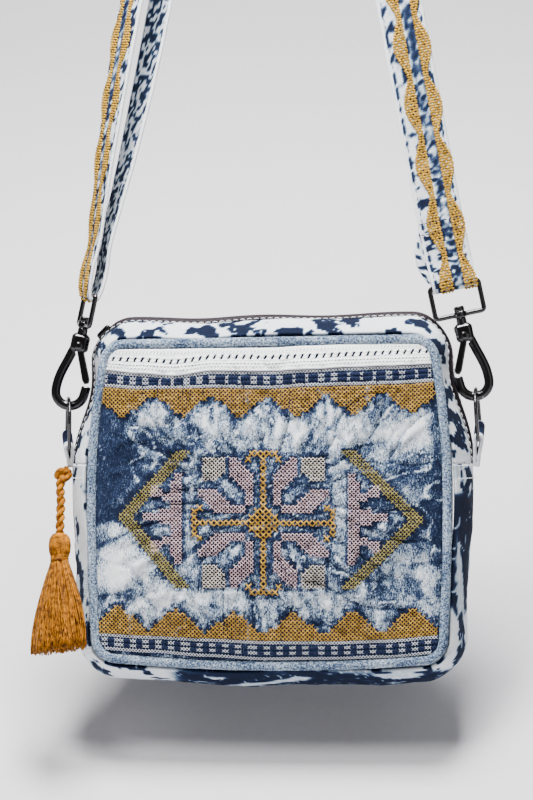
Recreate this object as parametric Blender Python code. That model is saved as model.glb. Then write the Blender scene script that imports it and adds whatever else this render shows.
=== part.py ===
"""Embroidered denim crossbody bag, hanging by its strap.

Metres, +Z up, the embroidered front faces -Y. The origin is where the strap's underside rests on what it
hangs from.
"""
import math

import bmesh
import bpy
from mathutils import Matrix, Vector

# Clearance between pieces that touch on the real bag
GAP = 0.0003

# Bag body
PANEL_WIDTH = 0.2034
PANEL_HEIGHT = 0.1804
PANEL_CORNER = 0.0125
PANEL_DOME = 0.008
CLOTH = 0.002
PIPING_DIAMETER = 0.0054
GUSSET_WIDTH = 0.056
GUSSET_BULGE = 0.012
TOP_NARROWING = 0.0095
BOTTOM_NARROWING = 0.003
BOTTOM_SAG = 0.005
TOP_LIFT = 0.0015
SIDE_SEAM_DROP = 0.0707
BAG_DROP = 0.597

# Zip
ZIP_SLOT = 0.0064
ZIP_TAPE_WIDTH = 0.016
ZIP_TAPE_THICKNESS = 0.001
ZIP_COIL_WIDTH = 0.005
ZIP_COIL_HEIGHT = 0.0018
SLIDER_LENGTH = 0.009
SLIDER_WIDTH = 0.0072
SLIDER_HEIGHT = 0.003

# Rings and their cloth tabs
RING_WIRE = 0.002
RING_CORNER = 0.8
RING_HEIGHT = 0.0255
RING_LEAN_IN = 5.0
RING_LEAN_FORWARD = 22.0
TAB_CLOTH = 0.0014
TAB_WIDTH = 0.0215
TAB_BASE_WIDTH = 0.012
TAB_STAND_OFF = 0.0034
TAB_RISE = {"right": 0.0172, "left": 0.0125}
RING_TURN = {"right": 4.0, "left": 12.0}
RING_PLAY = 0.0007

# Snap hooks
HOOK_LEAN = 12.0
HOOK_WIRE_WIDTH = 0.0052
HOOK_WIRE_DEPTH = 0.0044
BOW_RADIUS = 0.0083
BOW_DROP = 0.0263
HEAD_WIDTH = 0.0098
HEAD_HEIGHT = 0.0102
HEAD_DEPTH = 0.0064
GATE_WIDTH = 0.0038
GATE_THICKNESS = 0.0026
GATE_LENGTH = 0.0218
GATE_ANGLE = 22.5
RIVET_DIAMETER = 0.0022
RIVET_HEAD_DIAMETER = 0.0034
RIVET_HEAD_HEIGHT = 0.0005
POST_DIAMETER = 0.0032
KNOB_DIAMETER = 0.0056
COLLAR_DIAMETER = 0.005376
KNOB_HEIGHT = 0.0026

# Strap loops on the hooks
LOOP_WIRE = 0.0026
LOOP_HEIGHT = 0.0174
LOOP_RISE = 0.0121
LOOP_TURN = {"right": 4.0, "left": 112.0}
EYE_DIAMETER = 0.0064
EYE_HEIGHT = 0.0032

# Strap
STRAP_WIDTH = 0.026
STRAP_AT_LOOP = 0.0246
STRAP_THICKNESS = 0.002
STRAP_TAIL = 0.036
PEG_RADIUS = 0.013
LAYER_SPREAD = 0.0094
STRAP_SLIDER_PLACE = 0.66
STRAP_SLIDER_HEIGHT = 0.019
STRAP_SLIDER_WIRE = 0.0024
STRAP_SLIDER_TURN = 110.0

# Tassel
TASSEL_CORD_DIAMETER = 0.0054
TASSEL_CORD_LENGTH = 0.039
KNOT_DIAMETER = 0.0094
KNOT_LENGTH = 0.0084
TASSEL_HEAD_DIAMETER = 0.0118
TASSEL_HEAD_LENGTH = 0.0145
TASSEL_SKIRT_LENGTH = 0.0535
TASSEL_SKIRT_WIDTH = 0.034
TASSEL_SKIRT_DEPTH = 0.0105
TASSEL_TURN = -32.0
TASSEL_LOCKS = 9
# Way that the tassel hangs: away from the bag, forwards and down
TASSEL_HANG = (0.04, 0.28, 0.96)

HALF_WIDTH = PANEL_WIDTH / 2
HALF_HEIGHT = PANEL_HEIGHT / 2
# Height over the bag's middle where the upper side band meets the lower one
SIDE_SEAM_HEIGHT = HALF_HEIGHT - SIDE_SEAM_DROP
SEAM_Y = GUSSET_WIDTH / 2
PIPING_RADIUS = PIPING_DIAMETER / 2

# Steps along the outline's round corners and straight stretches
CORNER_STEPS = 4
STEPS_ABOVE_SEAM = 6
STEPS_BELOW_SEAM = 8
STEPS_ACROSS = 10

# Dents of the side band: across and up as shares of the panel's half sizes, depth place as a share of the
# seam's, radius as a share of the side band's width and depth of the dent as a share of its bulge
DENTS = (
    # across, up, place, radius, depth
    (1.05, 0.74, -0.38, 0.30, 0.74),
    (-1.05, 0.68, -0.38, 0.30, 0.74),
    (-1.06, -0.42, -0.85, 0.30, 0.30),
    (-0.45, 1.10, -0.45, 0.35, 0.20),
    (0.35, 1.10, 0.50, 0.40, 0.18),
    (0.20, -1.10, -0.40, 0.45, 0.20),
    (-0.60, -1.10, 0.40, 0.40, 0.20),
    (1.08, -0.55, 0.35, 0.40, 0.25),
)

# Puckers of the front panel: place as shares of the half sizes, spread as a share of the half width and
# depth as a share of the panel's dome, positive outwards
PUCKERS = (
    # across, up, spread, depth
    (-0.72, 0.30, 0.16, -0.28),
    (0.70, 0.34, 0.15, -0.25),
    (-0.30, 0.42, 0.14, 0.16),
    (0.34, -0.40, 0.16, 0.18),
    (-0.70, -0.52, 0.15, 0.20),
    (0.74, -0.50, 0.15, -0.22),
    (0.0, 0.62, 0.22, -0.16),
    (0.05, -0.66, 0.20, -0.14),
)


def clear_scene():
    for thing in list(bpy.data.objects):
        bpy.data.objects.remove(thing, do_unlink=True)


def make_material(name, colour, roughness, metallic=0.0):
    material = bpy.data.materials.new(name)
    material.use_nodes = True
    shader = material.node_tree.nodes["Principled BSDF"]
    shader.inputs["Base Color"].default_value = (*colour, 1.0)
    shader.inputs["Roughness"].default_value = roughness
    shader.inputs["Metallic"].default_value = metallic
    return material


def make_object(name, points, faces, material, smooth=True):
    """One closed body in world coordinates, its faces turned outwards."""
    shell = bmesh.new()
    corners = [shell.verts.new(point) for point in points]
    for face in faces:
        shell.faces.new([corners[index] for index in face])
    bmesh.ops.recalc_face_normals(shell, faces=shell.faces)
    mesh = bpy.data.meshes.new(name)
    shell.to_mesh(mesh)
    shell.free()
    mesh.materials.append(material)
    if smooth:
        mesh.shade_smooth()
        mesh.set_sharp_from_angle(angle=math.radians(40))
    thing = bpy.data.objects.new(name, mesh)
    bpy.context.scene.collection.objects.link(thing)
    return thing


def joined(base, others):
    """Fuse the other objects into the base with exact Booleans, and remove them."""
    for other in others:
        union = base.modifiers.new("fuse", "BOOLEAN")
        union.operation = "UNION"
        union.solver = "EXACT"
        union.object = other
        evaluated = base.evaluated_get(bpy.context.evaluated_depsgraph_get())
        fused = bpy.data.meshes.new_from_object(evaluated)
        base.modifiers.clear()
        base.data = fused
        bpy.data.objects.remove(other, do_unlink=True)
    return base


def cut(base, cutter):
    """Take the cutter away from the base, and remove it."""
    difference = base.modifiers.new("cut", "BOOLEAN")
    difference.operation = "DIFFERENCE"
    difference.solver = "EXACT"
    difference.object = cutter
    evaluated = base.evaluated_get(bpy.context.evaluated_depsgraph_get())
    left = bpy.data.meshes.new_from_object(evaluated)
    base.modifiers.clear()
    base.data = left
    bpy.data.objects.remove(cutter, do_unlink=True)
    return base


def wall_faces(rows, columns):
    """Faces of a wall between an outer and an inner grid of rows by columns points."""
    inner = rows * columns
    faces = []
    for row in range(rows - 1):
        below = row * columns
        above = below + columns
        for column in range(columns - 1):
            outer_face = (below + column, below + column + 1, above + column + 1, above + column)
            faces.append(outer_face)
            faces.append(tuple(inner + index for index in reversed(outer_face)))
        for column in (0, columns - 1):
            faces.append((below + column, above + column, inner + above + column, inner + below + column))
    for row in (0, rows - 1):
        start = row * columns
        for column in range(columns - 1):
            left = start + column
            faces.append((left, left + 1, inner + left + 1, inner + left))
    return faces


def make_wall(name, outer_rows, inner_rows, material):
    rows = len(outer_rows)
    columns = len(outer_rows[0])
    points = [point for row in outer_rows for point in row]
    points += [point for row in inner_rows for point in row]
    return make_object(name, points, wall_faces(rows, columns), material)


def make_sweep(name, sections, material, ring=False, smooth=True):
    """Closed tube through sections of equally many points; ends are capped unless it is a ring."""
    count = len(sections[0])
    points = [point for section in sections for point in section]
    faces = []
    last = len(sections) if ring else len(sections) - 1
    for row in range(last):
        here = row * count
        there = ((row + 1) % len(sections)) * count
        for index in range(count):
            after = (index + 1) % count
            faces.append((here + index, here + after, there + after, there + index))
    if not ring:
        faces.append(tuple(range(count)))
        faces.append(tuple(reversed(range(len(points) - count, len(points)))))
    return make_object(name, points, faces, material, smooth)


def ellipse(centre, across, along, half_across, half_along, sides):
    """Points of an ellipse at centre, in the plane of two unit directions."""
    points = []
    for index in range(sides):
        angle = 2 * math.pi * (index + 0.5) / sides
        first = across * (half_across * math.cos(angle))
        points.append(centre + first + along * (half_along * math.sin(angle)))
    return points


def smooth_route(controls, steps, places=None):
    """Smooth curve through control vectors, steps points for each span.

    The slope at each control is weighed by the distances to its neighbours, so that short spans beside long
    ones don't overshoot. The distances are those between places, when the controls aren't places themselves.
    """
    places = places or controls
    last = len(controls) - 1
    spans = [max((places[index + 1] - places[index]).length, 1e-6) for index in range(last)]
    rises = [(controls[index + 1] - controls[index]) / spans[index] for index in range(last)]
    slopes = [rises[0]]
    for index in range(1, last):
        before, after = spans[index - 1], spans[index]
        slopes.append((rises[index - 1] * after + rises[index] * before) / (before + after))
    slopes.append(rises[-1])
    points = []
    for index in range(last):
        for step in range(steps):
            t = step / steps
            bend = t * t * (3 - 2 * t)
            start_slope = slopes[index] * spans[index] * (t * (1 - t) * (1 - t))
            end_slope = slopes[index + 1] * spans[index] * (t * t * (t - 1))
            points.append(controls[index].lerp(controls[index + 1], bend) + start_slope + end_slope)
    points.append(controls[last].copy())
    return points


def tangents_of(points, ring=False):
    count = len(points)
    directions = []
    for index in range(count):
        if ring:
            ahead = points[(index + 1) % count]
            behind = points[index - 1]
        else:
            ahead = points[min(index + 1, count - 1)]
            behind = points[max(index - 1, 0)]
        directions.append((ahead - behind).normalized())
    return directions


def make_tube(name, points, side, half_side, half_other, sides, material, ring=False):
    """Tube along points; side is the direction that half_side is measured in."""
    sections = []
    for point, along in zip(points, tangents_of(points, ring)):
        other = along.cross(side).normalized()
        first = other.cross(along).normalized()
        sections.append(ellipse(point, first, other, half_side, half_other, sides))
    return make_sweep(name, sections, material, ring)


def make_block(name, frame, size, bevel, material):
    """Box with rounded edges, centred on a frame matrix."""
    shell = bmesh.new()
    bmesh.ops.create_cube(shell, size=1.0, matrix=frame @ Matrix.Diagonal((*size, 1.0)))
    bmesh.ops.bevel(shell, geom=shell.edges[:], offset=bevel, segments=1, profile=0.5, affect="EDGES")
    bmesh.ops.recalc_face_normals(shell, faces=shell.faces)
    mesh = bpy.data.meshes.new(name)
    shell.to_mesh(mesh)
    shell.free()
    mesh.materials.append(material)
    thing = bpy.data.objects.new(name, mesh)
    bpy.context.scene.collection.objects.link(thing)
    return thing


def make_pin(name, start, end, radius, sides, material):
    """Plain cylinder between two points."""
    along = (end - start).normalized()
    side = along.orthogonal().normalized()
    other = along.cross(side)
    sections = [ellipse(point, side, other, radius, radius, sides) for point in (start, end)]
    return make_sweep(name, sections, material)


# The outline of the bag: shared by the panels, the piping, the side band and the zip

def corner_points(across_sign, up_sign, first_angle):
    """Arc of a base corner with its outward directions."""
    points = []
    centre_x = across_sign * (HALF_WIDTH - PANEL_CORNER)
    centre_z = up_sign * (HALF_HEIGHT - PANEL_CORNER)
    for step in range(CORNER_STEPS + 1):
        angle = math.radians(first_angle + 90 * step / CORNER_STEPS)
        outward = Vector((math.cos(angle), 0, math.sin(angle)))
        points.append((Vector((centre_x, 0, centre_z)) + outward * PANEL_CORNER, outward))
    return points


def straight_points(start, end, outward, steps):
    """Points between two corners, both ends left out."""
    return [(start.lerp(end, step / steps), outward.copy()) for step in range(1, steps)]


RIGHT = Vector((1, 0, 0))
UP = Vector((0, 0, 1))


def outline_runs():
    """Base outline in two runs: over the top from the right side seam to the left, and back under."""
    inner_height = HALF_HEIGHT - PANEL_CORNER
    inner_width = HALF_WIDTH - PANEL_CORNER
    seam_right = Vector((HALF_WIDTH, 0, SIDE_SEAM_HEIGHT))
    seam_left = Vector((-HALF_WIDTH, 0, SIDE_SEAM_HEIGHT))
    top = [(seam_right, RIGHT.copy())]
    top += straight_points(seam_right, Vector((HALF_WIDTH, 0, inner_height)), RIGHT, STEPS_ABOVE_SEAM)
    top += corner_points(1, 1, 0)
    top_right = Vector((inner_width, 0, HALF_HEIGHT))
    top += straight_points(top_right, Vector((-inner_width, 0, HALF_HEIGHT)), UP, STEPS_ACROSS)
    top += corner_points(-1, 1, 90)
    top += straight_points(Vector((-HALF_WIDTH, 0, inner_height)), seam_left, -RIGHT, STEPS_ABOVE_SEAM)
    top.append((seam_left, -RIGHT))
    under = [(seam_left, -RIGHT)]
    under += straight_points(seam_left, Vector((-HALF_WIDTH, 0, -inner_height)), -RIGHT, STEPS_BELOW_SEAM)
    under += corner_points(-1, -1, 180)
    bottom_left = Vector((-inner_width, 0, -HALF_HEIGHT))
    under += straight_points(bottom_left, Vector((inner_width, 0, -HALF_HEIGHT)), -UP, STEPS_ACROSS)
    under += corner_points(1, -1, 270)
    under += straight_points(Vector((HALF_WIDTH, 0, -inner_height)), seam_right, RIGHT, STEPS_BELOW_SEAM)
    under.append((seam_right, RIGHT.copy()))
    return top, under


def shaped(point, depth):
    """A base outline point with the bag's barrel sides, sagging bottom and lifted top, at a depth."""
    u = max(-1.1, min(1.1, point.x / HALF_WIDTH))
    v = max(-1.1, min(1.1, point.z / HALF_HEIGHT))
    narrowing = TOP_NARROWING * v * v if v > 0 else BOTTOM_NARROWING * v * v
    lift = TOP_LIFT * u * v if v > 0 else -BOTTOM_SAG * max(0.0, 1 - u * u) * -v
    return Vector((point.x - u * narrowing, depth, point.z + lift - BAG_DROP))


def bulge_at(depth):
    share = min(1.0, abs(depth) / SEAM_Y)
    return GUSSET_BULGE * (1 - share * share)


def dent_at(point, depth):
    """How far the side band is pressed in at a base point and depth."""
    total = 0.0
    for across, up, place, radius, share in DENTS:
        centre = Vector((across * HALF_WIDTH, place * SEAM_Y, up * HALF_HEIGHT))
        offset = Vector((point.x, depth, point.z)) - centre
        reach = radius * GUSSET_WIDTH
        total += share * GUSSET_BULGE * math.exp(-offset.length_squared / (2 * reach * reach))
    return total


def band_point(station, depth, inset):
    """Point of the side band at an outline station and depth, inset inwards from its outer face."""
    base, outward = station
    puffed = base + outward * bulge_at(depth)
    out = bulge_at(depth) - dent_at(puffed, depth) - inset
    return shaped(base + outward * out, depth)


def make_band(name, run, depths, inset, thickness, material):
    outer = [[band_point(station, depth, inset) for depth in depths] for station in run]
    inner = [[band_point(station, depth, inset + thickness) for depth in depths] for station in run]
    return make_wall(name, outer, inner, material)


def trimmed(run, clearance_start, clearance_end):
    """A run whose first and last stations are moved along it to leave a seam gap."""
    def moved(station, neighbour, distance):
        step = (neighbour[0] - station[0]).normalized() * distance
        return station[0] + step, station[1]
    first = moved(run[0], run[1], clearance_start)
    last = moved(run[-1], run[-2], clearance_end)
    return [first] + run[1:-1] + [last]


def panel_point(s, t, edge):
    """Base point of a panel for shares s and t of its half sizes, with round corners."""
    half_x = HALF_WIDTH - edge
    half_z = HALF_HEIGHT - edge
    radius = max(PANEL_CORNER - edge, 0.001)
    x = s * half_x
    z = t * half_z
    over_x = (abs(x) - (half_x - radius)) / radius
    over_z = (abs(z) - (half_z - radius)) / radius
    if over_x > 0 and over_z > 0:
        round_x = over_x * math.sqrt(1 - over_z * over_z / 2)
        round_z = over_z * math.sqrt(1 - over_x * over_x / 2)
        x = math.copysign(half_x - radius + radius * round_x, x)
        z = math.copysign(half_z - radius + radius * round_z, z)
    return Vector((x, 0, z))


def make_panel(name, side, columns, rows, puckers, material):
    """Domed cloth wall inside the piping; side is -1 for the front and 1 for the back."""
    edge = PIPING_DIAMETER + GAP
    outer = []
    inner = []
    for row in range(rows + 1):
        t = 2 * row / rows - 1
        outer_row = []
        inner_row = []
        for column in range(columns + 1):
            s = 2 * column / columns - 1
            base = panel_point(s, t, edge)
            dome = PANEL_DOME * ((1 - s * s) * (1 - t * t)) ** 0.55
            fade = min(1.0, 4 * (1 - abs(s)), 4 * (1 - abs(t)))
            for across, up, spread, depth in puckers:
                away = ((s - across) ** 2 + (t - up) ** 2) / (2 * spread * spread)
                dome += PANEL_DOME * depth * math.exp(-away) * fade
            outside = SEAM_Y + CLOTH / 2 + dome
            outer_row.append(shaped(base, side * outside))
            inner_row.append(shaped(base, side * (outside - CLOTH)))
        outer.append(outer_row)
        inner.append(inner_row)
    return make_wall(name, outer, inner, material)


def make_piping(name, side, stations, material):
    sections = []
    for base, outward in stations:
        centre = shaped(base - outward * PIPING_RADIUS, side * SEAM_Y)
        sections.append(ellipse(centre, outward, Vector((0, 1, 0)), PIPING_RADIUS, PIPING_RADIUS, 8))
    return make_sweep(name, sections, material, ring=True)


def make_bag_body(denim, dark_denim, piping_cloth, tape_cloth, coil_metal):
    top, under = outline_runs()
    make_panel("front_panel", -1, 18, 16, PUCKERS, denim)
    make_panel("back_panel", 1, 10, 9, (), denim)
    ring_stations = top[:-1] + under[:-1]
    make_piping("piping_front", -1, ring_stations, piping_cloth)
    make_piping("piping_back", 1, ring_stations, piping_cloth)
    edge_depth = SEAM_Y - PIPING_RADIUS - GAP
    slot = ZIP_SLOT / 2
    half_tape = ZIP_TAPE_WIDTH / 2
    upper = trimmed(top, GAP, GAP)
    for name, side in (("gusset_top_front", -1), ("gusset_top_back", 1)):
        depths = [side * value for value in (edge_depth, (edge_depth + half_tape) / 2, half_tape, slot)]
        make_band(name, upper, depths, 0.0, CLOTH, dark_denim)
    lower_depths = [edge_depth * share for share in (-1, -0.72, -0.38, 0, 0.38, 0.72, 1)]
    make_band("gusset_lower", under, lower_depths, 0.0, CLOTH, dark_denim)
    half_coil = ZIP_COIL_WIDTH / 2
    tape_depths = (-half_tape, -slot, 0, slot, half_tape)
    make_band("zip_tape", upper, tape_depths, CLOTH + GAP, ZIP_TAPE_THICKNESS, tape_cloth)
    coil_inset = CLOTH - ZIP_COIL_HEIGHT
    make_band("zip_coil", upper, (-half_coil, 0, half_coil), coil_inset, ZIP_COIL_HEIGHT, coil_metal)
    return top


def make_zip_slider(top, metal):
    """Closed slider on the coil at the top left corner, behind the snap hook."""
    middle = -1 - STEPS_ABOVE_SEAM - CORNER_STEPS // 2
    seat = band_point(top[middle], 0, -(GAP + SLIDER_HEIGHT / 2))
    along = band_point(top[middle - 1], 0, 0) - band_point(top[middle + 1], 0, 0)
    frame = frame_from(seat, top[middle][1], along)
    body_size = (SLIDER_HEIGHT, SLIDER_WIDTH, SLIDER_LENGTH)
    make_block("zip_slider", frame, body_size, SLIDER_HEIGHT * 0.3, metal)


# Hardware at the sides, worked out from the bag's side seam upwards

def frame_from(origin, x_axis, z_axis):
    """Matrix with z along z_axis and x as near x_axis as it can be."""
    z_unit = z_axis.normalized()
    y_unit = z_unit.cross(x_axis).normalized()
    x_unit = y_unit.cross(z_unit)
    matrix = Matrix((x_unit, y_unit, z_unit)).transposed().to_4x4()
    matrix.translation = origin
    return matrix


def heading(degrees):
    """Level unit direction, turned from +X towards +Y."""
    angle = math.radians(degrees)
    return Vector((math.cos(angle), math.sin(angle), 0))


def ring_radius():
    """Radius of the ring's round top, which leaves room for the tab between the corners."""
    return TAB_WIDTH / 2 + GAP + RING_WIRE * RING_CORNER


def side_layout(side):
    """Frames of the ring, hook and loop of one side, chained from the bag's side seam."""
    sign = 1 if side == "right" else -1
    seam = (Vector((sign * HALF_WIDTH, 0, SIDE_SEAM_HEIGHT)), Vector((sign, 0, 0)))
    seam_point = shaped(seam[0] + seam[1] * GUSSET_BULGE, 0)
    bar = seam_point + Vector((sign * TAB_STAND_OFF, 0, TAB_RISE[side]))
    lean_in = math.tan(math.radians(RING_LEAN_IN))
    lean_forward = math.tan(math.radians(RING_LEAN_FORWARD))
    rise = Vector((-sign * lean_in, -lean_forward, 1))
    turn = math.radians(RING_TURN[side]) * sign
    bar_direction = Vector((math.sin(turn), math.cos(turn), 0))
    ring = frame_from(bar, bar_direction, rise)
    lean = math.radians(HOOK_LEAN)
    axis = Vector((-sign * math.sin(lean), 0, math.cos(lean)))
    outward = Vector((sign * math.cos(lean), 0, math.sin(lean)))
    arc_centre = ring @ Vector((0, 0, RING_HEIGHT - ring_radius()))
    ring_normal = (ring.to_3x3() @ Vector((0, 1, 0))).normalized()
    ring_top = arc_centre + (axis - ring_normal * axis.dot(ring_normal)).normalized() * ring_radius()
    hole_bottom = BOW_DROP + BOW_RADIUS - HOOK_WIRE_WIDTH / 2
    seat_local = Vector((0, 0, -hole_bottom + RING_WIRE / 2 + RING_PLAY))
    hook = frame_from(Vector((0, 0, 0)), outward, axis)
    hook.translation = ring_top - hook @ seat_local
    loop_centre = hook @ Vector((0, 0, LOOP_RISE))
    loop = frame_from(loop_centre, heading(LOOP_TURN[side]), axis)
    return {"sign": sign, "seam": seam_point, "bar": bar, "ring": ring, "hook": hook, "loop": loop}


def make_ring(name, frame, metal):
    """Deep D: a straight bar, two legs and a round top."""
    corner = RING_WIRE * RING_CORNER
    radius = ring_radius()
    legs = RING_HEIGHT - radius
    points = []
    for share in (-0.5, 0.0, 0.5):
        points.append(Vector((share * (2 * radius - 2 * corner), 0, 0)))
    points.append(Vector((radius - corner * 0.3, 0, corner * 0.3)))
    points.append(Vector((radius, 0, corner)))
    for step in range(13):
        angle = math.pi * step / 12
        points.append(Vector((radius * math.cos(angle), 0, legs + radius * math.sin(angle))))
    points.append(Vector((-radius, 0, corner)))
    points.append(Vector((-radius + corner * 0.3, 0, corner * 0.3)))
    world = [frame @ point for point in points]
    side = (frame.to_3x3() @ Vector((0, 1, 0))).normalized()
    half = RING_WIRE / 2
    return make_tube(name, world, side, half, half, 6, metal, ring=True)


def tab_base(layout):
    """Middle of the tab's base, just outside the side seam."""
    return layout["seam"] + Vector((layout["sign"] * (GAP + TAB_CLOTH * 1.1), 0, GAP))


def make_tab(name, layout, cloth):
    """Folded cloth tab round the ring's bar, pinched where the side seam holds it."""
    ring = layout["ring"]
    bar_axis = (ring.to_3x3() @ Vector((1, 0, 0))).normalized()
    wrap = RING_WIRE / 2 + GAP + TAB_CLOTH / 2
    sign = layout["sign"]
    base = tab_base(layout)
    down = (base - layout["bar"]).normalized()
    outward = bar_axis.cross(down).normalized()
    if outward.x * sign < 0:
        outward = -outward
    over = (bar_axis * down.dot(bar_axis) - down).normalized()
    centres = []
    halves = []
    # share of the way from the base to the bar, stand-off share and width share, up the inner layer
    climb = ((0.0, 0.42, 0.0), (0.35, 0.55, 0.35), (0.7, 0.85, 0.8), (1.0, 1.0, 1.0))
    for share, stand, width in climb:
        centres.append(base.lerp(layout["bar"], share) - outward * wrap * stand)
        halves.append((TAB_BASE_WIDTH + (TAB_WIDTH - TAB_BASE_WIDTH) * width) / 2)
    for step in range(1, 6):
        angle = math.pi * step / 6
        centres.append(layout["bar"] - outward * wrap * math.cos(angle) + over * wrap * math.sin(angle))
        halves.append(TAB_WIDTH / 2)
    for share, stand, width in reversed(climb):
        centres.append(base.lerp(layout["bar"], share) + outward * wrap * (stand if share else 0.62))
        halves.append((TAB_BASE_WIDTH + (TAB_WIDTH - TAB_BASE_WIDTH) * width) / 2)
    sections = []
    half_cloth = TAB_CLOTH / 2
    for centre, half, along in zip(centres, halves, tangents_of(centres)):
        normal = bar_axis.cross(along).normalized()
        sections.append([
            centre - bar_axis * half - normal * half_cloth, centre - normal * half_cloth,
            centre + bar_axis * half - normal * half_cloth, centre + bar_axis * half + normal * half_cloth,
            centre + normal * half_cloth, centre - bar_axis * half + normal * half_cloth])
    return make_sweep(name, sections, cloth)


def hook_route():
    """Centre line of the hook's limb in its own frame, from the head round the bow to the nose."""
    controls = [Vector((HEAD_WIDTH * 0.26, 0, -HEAD_HEIGHT * 0.10))]
    for across, down in ((0.62, 0.38), (0.88, 0.66)):
        controls.append(Vector((BOW_RADIUS * across, 0, -BOW_DROP * down)))
    for degrees in (10, -25, -60, -95, -130, -160, -184):
        angle = math.radians(degrees)
        controls.append(Vector((BOW_RADIUS * math.cos(angle), 0, -BOW_DROP + BOW_RADIUS * math.sin(angle))))
    for rise in (0.3, 0.52):
        controls.append(Vector((-BOW_RADIUS * 1.02, 0, -BOW_DROP + BOW_RADIUS * rise)))
    return smooth_route(controls, 2)


def make_hook(name, frame, metal):
    """Hook body: head with a slot, limb and bow, swivel post with its knob, and the gate's rivet."""
    route = [frame @ point for point in hook_route()]
    depth_axis = (frame.to_3x3() @ Vector((0, 1, 0))).normalized()
    half_depth = HOOK_WIRE_DEPTH / 2
    half_width = HOOK_WIRE_WIDTH / 2
    body = make_tube(name, route, depth_axis, half_depth, half_width, 8, metal)
    head_centre = frame @ Matrix.Translation((0, 0, HEAD_HEIGHT * 0.17))
    head_size = (HEAD_WIDTH, HEAD_DEPTH, HEAD_HEIGHT)
    head = make_block("head", head_centre, head_size, HEAD_WIDTH * 0.16, metal)
    joined(body, [head])
    slot_size = (HEAD_WIDTH * 1.1, GATE_THICKNESS + 2 * GAP, HEAD_HEIGHT * 0.7)
    slot_place = Matrix.Translation((-HEAD_WIDTH * 0.29, 0, -HEAD_HEIGHT * 0.1))
    slot = make_block("slot", frame @ slot_place, slot_size, GAP, metal)
    cut(body, slot)
    post_top = LOOP_RISE + EYE_HEIGHT / 2 + GAP + KNOB_HEIGHT
    post_start = frame @ Vector((0, 0, HEAD_HEIGHT * 0.5))
    post_end = frame @ Vector((0, 0, post_top - KNOB_HEIGHT / 2))
    post = make_pin("post", post_start, post_end, POST_DIAMETER / 2, 10, metal)
    knob_foot = frame @ Vector((0, 0, post_top - KNOB_HEIGHT))
    knob = make_pin("knob", knob_foot, frame @ Vector((0, 0, post_top)), KNOB_DIAMETER / 2, 10, metal)
    collar_top = LOOP_RISE - EYE_HEIGHT / 2 - GAP
    collar_foot = frame @ Vector((0, 0, HEAD_HEIGHT * 0.6))
    collar_end = frame @ Vector((0, 0, collar_top))
    collar = make_pin("collar", collar_foot, collar_end, COLLAR_DIAMETER / 2, 10, metal)
    pin_half = HEAD_DEPTH / 2 + RIVET_HEAD_HEIGHT
    pin_start = frame @ Vector((0, -HEAD_DEPTH * 0.4, 0))
    pin_end = frame @ Vector((0, HEAD_DEPTH * 0.4, 0))
    pin = make_pin("pin", pin_start, pin_end, RIVET_DIAMETER / 2, 10, metal)
    rivet_heads = []
    for face in (-1, 1):
        start = frame @ Vector((0, face * HEAD_DEPTH * 0.3, 0))
        end = frame @ Vector((0, face * pin_half, 0))
        rivet_heads.append(make_pin("rivet_head", start, end, RIVET_HEAD_DIAMETER / 2, 10, metal))
    return joined(body, [post, knob, collar, pin] + rivet_heads)


def make_gate(name, frame, metal):
    """Gate: an eye on the rivet and a blade down to the nose."""
    half = GATE_THICKNESS / 2
    lean = math.radians(GATE_ANGLE)
    along = Vector((-math.sin(lean), 0, -math.cos(lean)))
    across = Vector((math.cos(lean), 0, -math.sin(lean)))
    eye_radius = GATE_WIDTH * 0.56
    outline = []
    start_angle = math.degrees(math.atan2(along.z, along.x)) + 50
    for step in range(9):
        angle = math.radians(start_angle + 260 * step / 8)
        outline.append(Vector((math.cos(angle), 0, math.sin(angle))) * eye_radius)
    tip = along * GATE_LENGTH
    outline.append(along * (GATE_LENGTH * 0.9) - across * GATE_WIDTH * 0.5)
    outline.append(tip - across * GATE_WIDTH * 0.28)
    outline.append(tip + across * GATE_WIDTH * 0.28)
    outline.append(along * (GATE_LENGTH * 0.9) + across * GATE_WIDTH * 0.5)
    sections = []
    for y in (-half, half):
        sections.append([frame @ (point + Vector((0, y, 0))) for point in outline])
    gate = make_sweep(name, sections, metal, smooth=False)
    bore_radius = RIVET_DIAMETER / 2 + GAP
    bore_start = frame @ Vector((0, -GATE_THICKNESS, 0))
    bore = make_pin("bore", bore_start, frame @ Vector((0, GATE_THICKNESS, 0)), bore_radius, 10, metal)
    return cut(gate, bore)


def make_loop(name, frame, metal):
    """Rectangular strap loop with round corners and an eye for the swivel post."""
    corner = GAP + LOOP_WIRE / 2
    half_width = STRAP_AT_LOOP / 2 + corner
    points = []
    # across, up and the first angle of each corner's arc
    corners = (
        (half_width, 0, -90), (half_width, LOOP_HEIGHT, 0),
        (-half_width, LOOP_HEIGHT, 90), (-half_width, 0, 180))
    for x, z, first in corners:
        centre = Vector((x - math.copysign(corner, x), 0, z + (corner if z == 0 else -corner)))
        for step in range(4):
            angle = math.radians(first + 30 * step)
            points.append(centre + Vector((math.cos(angle), 0, math.sin(angle))) * corner)
    world = [frame @ point for point in points]
    side = (frame.to_3x3() @ Vector((0, 1, 0))).normalized()
    half = LOOP_WIRE / 2
    loop = make_tube(name, world, side, half, half, 8, metal, ring=True)
    eye_half = EYE_HEIGHT / 2
    eye_start = frame @ Vector((0, 0, -eye_half))
    eye = make_pin("eye", eye_start, frame @ Vector((0, 0, eye_half)), EYE_DIAMETER / 2, 12, metal)
    joined(loop, [eye])
    bore_start = frame @ Vector((0, 0, -EYE_HEIGHT))
    bore_end = frame @ Vector((0, 0, EYE_HEIGHT))
    bore = make_pin("bore", bore_start, bore_end, POST_DIAMETER / 2 + GAP, 10, metal)
    return cut(loop, bore)


# Strap: one band from its sewn tail at the right loop, over the top and through the left loop

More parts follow.
